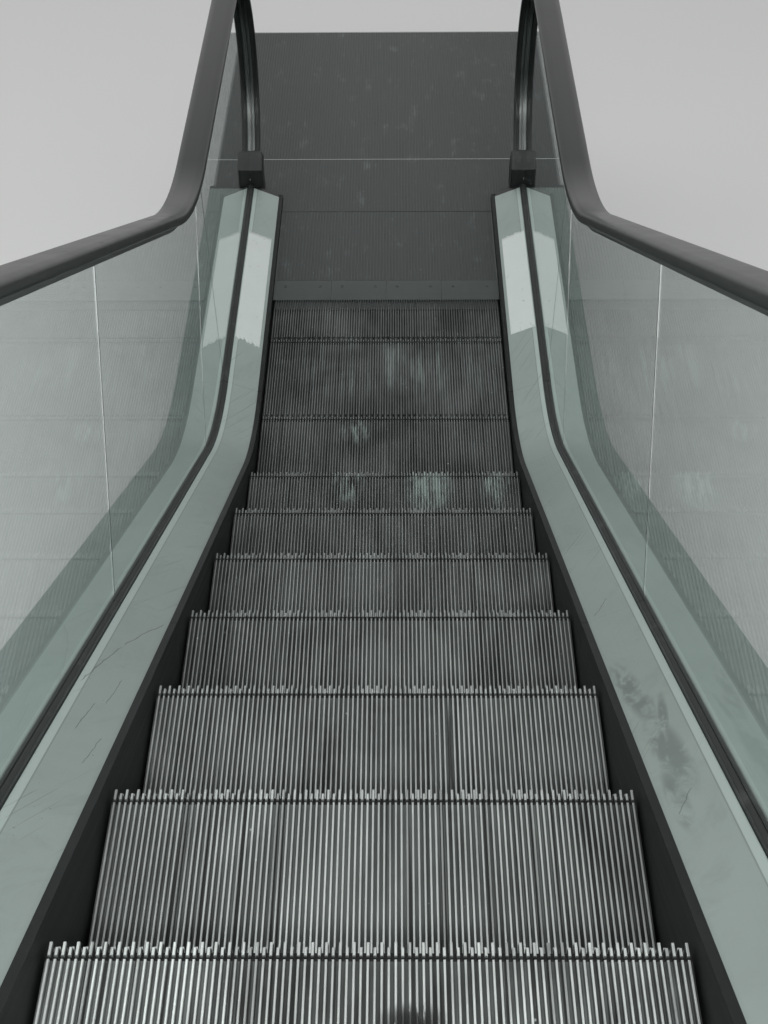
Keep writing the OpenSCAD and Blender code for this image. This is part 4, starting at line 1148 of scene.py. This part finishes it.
class ESCALATOR_OT_steps(bpy.types.Operator):
    """Make the grooved steps with their cleated risers and rollers"""

    bl_idname = "escalator.steps"
    bl_label = "Steps"

    def execute(self, context):
        material = step_finish()
        path = StepPath()
        pitch = sizes().step_pitch
        parts = (one_step(), running_gear())
        start = path.distance(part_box("steps_lower_landing")[0].y)
        for node, count in STEP_NODES:
            steps = Surface()
            for y, z in zip(*path.at(start + pitch * np.arange(count))):
                for part in parts:
                    steps.add(part.points + (0.0, y, z), part.faces, part.depths)
            placed(steps, "grooved_" + node, 35, material, "step_aluminium", node)
            start += pitch * count
        return {"FINISHED"}


class ESCALATOR_OT_combs(bpy.types.Operator):
    """Make the combs whose teeth run in the grooves of the steps"""

    bl_idname = "escalator.combs"
    bl_label = "Combs"

    def execute(self, context):
        material = cast_finish("worn_comb", colours().comb, 0.8)
        for name, y, z, up in LANDINGS:
            placed(comb_piece().at_landing(y, z, up), "toothed_comb_" + name, 35, material,
                   "comb_aluminium", "comb_" + name)
        return {"FINISHED"}


class ESCALATOR_OT_plates(bpy.types.Operator):
    """Make the ribbed comb plates and floor plates of both landings"""

    bl_idname = "escalator.plates"
    bl_label = "Landing plates"

    def execute(self, context):
        material = plate_finish()
        trim = drawn_steel_finish("trim_steel", colours().trim)
        joint, air, thick = 3 * MM, 0.2 * MM, 26 * MM
        for name, y, z, up in LANDINGS:
            comb_box, floor_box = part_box("comb_plate_" + name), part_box("floor_plates_" + name)
            half, wide = comb_box[1].x, floor_box[1].x
            comb_far = -COMB_BODY - (comb_box[1].y - comb_box[0].y)
            outer = comb_far - joint - FLOOR_PLATE
            end = comb_far - joint - (floor_box[1].y - floor_box[0].y)
            # The comb plate is thin and stands on a beam along its far edge
            plate = ribbed(Surface(), half, comb_far, -COMB_BODY - 0.6 * MM, 9 * MM)
            plate.tubes(block((-half, comb_far, PLATE_LIFT - thick),
                              (half, comb_far + 40 * MM, PLATE_LIFT - 8 * MM)), 0.5)
            placed(plate.at_landing(y, z, up), "ribbed_comb_plate_" + name, 30, material,
                   "floor_plate", "comb_plate_" + name)
            # The inner floor plate is narrower between the decks
            plates = ribbed(Surface(), half, -DECK_STOP, comb_far - joint, thick)
            ribbed(plates, wide, outer, -DECK_STOP, thick)
            ribbed(plates, wide, end, outer - joint, thick)
            placed(plates.at_landing(y, z, up), "ribbed_floor_plates_" + name, 30, material,
                   "floor_plate", "floor_plates_" + name)
            y0, y1, foot = outer - joint + air, outer - air, PLATE_LIFT - 10 * MM
            bar = rounded([(y0, foot), (y1, foot), (y1, PLATE_LIFT), (y0, PLATE_LIFT)], 0.4 * MM, 3)
            placed(Surface().tubes(prism(bar, -wide, wide)).at_landing(y, z, up),
                   "joint_trim_" + name, 30, trim, "frame_steel")
        return {"FINISHED"}


class ESCALATOR_OT_decks(bpy.types.Operator):
    """Make the inner and outer decks in their lengths, with rounded edges"""

    bl_idname = "escalator.decks"
    bl_label = "Decks"

    def execute(self, context):
        material = deck_finish()
        for node, profile in (("inner_deck", deck_profile()), ("outer_deck", outer_deck_profile())):
            for name, side in SIDES:
                deck = Surface()
                for line in StepPath().lengths(0.5 * MM):
                    deck.swept(profile * (side, 1.0), line)
                placed(deck, node + "_sheets_" + name, 40, material, "deck_metal", node + "_" + name)
        return {"FINISHED"}


class ESCALATOR_OT_clamps(bpy.types.Operator):
    """Make the clamps that hold the glass, and their rubber gaskets"""

    bl_idname = "escalator.clamps"
    bl_label = "Clamps and gaskets"

    def execute(self, context):
        c = colours()
        material = plain_finish("dark_clamp", c.clamp, 0.36, 0.4)
        rubber = plain_finish("gasket_rubber", c.gasket, 0.55)
        for name, side in SIDES:
            clamp, gasket = Surface(), Surface()
            for line in StepPath().lengths(1.5 * MM):
                clamp.swept(clamp_profile() * (side, 1.0), line)
                for face, out in ((GLASS_IN, -1), (GLASS_OUT, 1)):
                    gasket.swept(gasket_profile(face, out) * (side, 1.0), line)
            placed(clamp, "clamp_profiles_" + name, 40, material, "clamp_black", "glass_clamp_" + name)
            placed(gasket, "glass_gasket_" + name, 40, rubber, "clamp_black")
        return {"FINISHED"}


class ESCALATOR_OT_handrails(bpy.types.Operator):
    """Make the handrails, which run round both newels into their inlets"""

    bl_idname = "escalator.handrails"
    bl_label = "Handrails"

    def execute(self, context):
        material = rubber_finish()
        for name, side in SIDES:
            placed(Surface().swept(handrail_profile() * (side, 1.0), handrail_line()),
                   "handrail_rubber_" + name, 40, material, "handrail_rubber", "handrail_" + name)
        return {"FINISHED"}


class ESCALATOR_OT_inlets(bpy.types.Operator):
    """Make the moulded handrail inlets"""

    bl_idname = "escalator.inlets"
    bl_label = "Handrail inlets"

    def execute(self, context):
        material = plain_finish("inlet_moulding", colours().inlet, 0.42, grain_scale=260.0)
        for (name, _, _, up), (y, z) in zip(LANDINGS, newel_centres()):
            placed(inlet_piece().mirrored().at_landing(y, z, up), "moulded_inlets_" + name, 40,
                   material, "inlet_plastic", "handrail_inlets_" + name)
        return {"FINISHED"}


class ESCALATOR_OT_strips(bpy.types.Operator):
    """Lay a plain worn white film on both inner decks near the foot of the flight"""

    bl_idname = "escalator.strips"
    bl_label = "Deck films"

    def execute(self, context):
        material = strip_finish()
        start = StepPath().distance(COMB_LOW_Y) - 0.345
        for name, side, run, torn in (
                ("right", 1, 0.635, (0.001, 0.009)), ("left", -1, 0.575, (0.005, 0.001))):
            # A film is so thin that it is shaded as one, over its edges too
            placed(film(start, start + run, side, torn), "white_film_" + name, 180, material,
                   "deck_metal")
        return {"FINISHED"}


class ESCALATOR_OT_finishes(bpy.types.Operator):
    """Give the skirts, glass, guides, panels, truss and bearings their finishes"""

    bl_idname = "escalator.finishes"
    bl_label = "Finishes"

    def execute(self, context):
        c = colours()
        painted(("skirt_left", "skirt_right"), skirt_finish())
        painted(("glass_left", "glass_right", "newel_glass_lower", "newel_glass_upper"), glass_finish())
        painted(("handrail_guide_left", "handrail_guide_right"),
                drawn_steel_finish("drawn_stainless", c.guide))
        painted(("side_panels_left", "side_panels_right", "underside_panels", "end_wall_lower",
                 "end_wall_upper"), panel_finish())
        painted(("balustrade_ends_lower", "balustrade_ends_upper"),
                plain_finish("black_end_trim", c.inlet, 0.42, grain_scale=260.0))
        painted(("floor_frame_lower", "floor_frame_upper"),
                cast_finish("frame_steel_rim", c.rim, 0.9))
        painted(("bearing_angle_lower", "bearing_angle_upper", "truss_chords", "truss_frames",
                 "roller_tracks_left", "roller_tracks_right"),
                plain_finish("painted_truss", c.truss, 0.5, 0.1))
        return {"FINISHED"}


def lay_floor():
    """A square floor about the place that the lights aim at, just under the escalator."""
    half, thick = 30.0, 0.1
    (x, y, _), top = LIGHTS_AIM, cad_low[2] - 0.5 * MM
    floor = Surface().tubes(block((x - half, y - half, top - thick), (x + half, y + half, top)))
    piece = floor.build("pale_floor", 30)
    shade = colours().floor
    sh = painted_in("pale_floor")
    base = sh.mix(sh.noise(0.6, 3.0), scaled(shade, 0.985), shade)
    piece.data.materials.append(sh.finish(base, 0.75))
    piece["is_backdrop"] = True


def hang_lights(scene):
    """Rectangular lights, turned so that their -z axis points at the same place."""
    for name, place, size, energy in STAGE_LIGHTS:
        lamp = bpy.data.lights.new(name, "AREA")
        lamp.shape = "RECTANGLE"
        lamp.size, lamp.size_y = size
        lamp.energy = energy
        holder = bpy.data.objects.new(name, lamp)
        scene.collection.objects.link(holder)
        holder.location = place
        x, y, z = np.subtract(LIGHTS_AIM, place)
        holder.rotation_euler = (
            math.atan2(math.hypot(x, y), -z), 0.0, math.atan2(y, x) - math.pi / 2)


def light_world(scene):
    """White to the camera, in mirrors and through glass, and weaker as a light."""
    scene.world = bpy.data.worlds.new("studio")
    sh = Shader(scene.world)
    seen = sh.ray("Camera", "Glossy", "Transmission")
    light = sh.node("ShaderNodeBackground", {}, {
        "Color": (1.0, 1.0, 1.0), "Strength": seen * (1.0 - WORLD_LEVEL) + WORLD_LEVEL})
    sh.node("ShaderNodeOutputWorld", {}, {"Surface": light})
    scene.view_settings.view_transform = "Standard"


def place_camera(scene):
    """The fitted camera: turned to look along -y, then down, and last about its own axis."""
    s = sizes()
    camera = bpy.data.cameras.new("photo_camera")
    camera.sensor_fit = "VERTICAL"
    camera.sensor_height = 36.0
    camera.lens = s.camera_lens
    camera.clip_start = 0.02
    holder = bpy.data.objects.new("photo_camera", camera)
    scene.collection.objects.link(holder)
    holder.location = s.camera_place
    turn = Euler((math.pi / 2 - s.camera_pitch, 0.0, math.pi + s.camera_yaw)).to_matrix()
    holder.rotation_euler = (turn @ Euler((0.0, 0.0, s.camera_roll)).to_matrix()).to_euler()
    scene.camera = holder


class ESCALATOR_OT_stage(bpy.types.Operator):
    """Set the pale floor, the soft lights, the white background and the camera"""

    bl_idname = "escalator.stage"
    bl_label = "Stage"

    def execute(self, context):
        lay_floor()
        hang_lights(context.scene)
        light_world(context.scene)
        place_camera(context.scene)
        return {"FINISHED"}


OPERATORS = (
    ESCALATOR_OT_steps, ESCALATOR_OT_combs, ESCALATOR_OT_plates, ESCALATOR_OT_decks,
    ESCALATOR_OT_clamps, ESCALATOR_OT_handrails, ESCALATOR_OT_inlets, ESCALATOR_OT_strips,
    ESCALATOR_OT_finishes, ESCALATOR_OT_stage)


class ESCALATOR_PT_sidebar(bpy.types.Panel):
    """Lists the pieces of the escalator and their sizes and colours"""

    bl_idname = "ESCALATOR_PT_sidebar"
    bl_label = "Escalator"
    bl_space_type = "VIEW_3D"
    bl_region_type = "UI"
    bl_category = "Escalator"

    def draw(self, context):
        column = self.layout.column(align=True)
        for operator in OPERATORS:
            column.operator(operator.bl_idname)
        for group in (sizes(), colours()):
            box = self.layout.box().column()
            for name in group.__annotations__:
                box.prop(group, name)


CLASSES = (EscalatorSizes, EscalatorColours, *OPERATORS, ESCALATOR_PT_sidebar)


def register():
    for made in CLASSES:
        bpy.utils.register_class(made)
    bpy.types.Scene.escalator_sizes = PointerProperty(type=EscalatorSizes)
    bpy.types.Scene.escalator_colours = PointerProperty(type=EscalatorColours)


def unregister():
    del bpy.types.Scene.escalator_colours
    del bpy.types.Scene.escalator_sizes
    for made in reversed(CLASSES):
        bpy.utils.unregister_class(made)


def main():
    register()
    bpy.ops.escalator.steps()
    bpy.ops.escalator.combs()
    bpy.ops.escalator.plates()
    bpy.ops.escalator.decks()
    bpy.ops.escalator.clamps()
    bpy.ops.escalator.handrails()
    bpy.ops.escalator.inlets()
    bpy.ops.escalator.strips()
    bpy.ops.escalator.finishes()
    bpy.ops.escalator.stage()


if __name__ == "__main__":
    main()
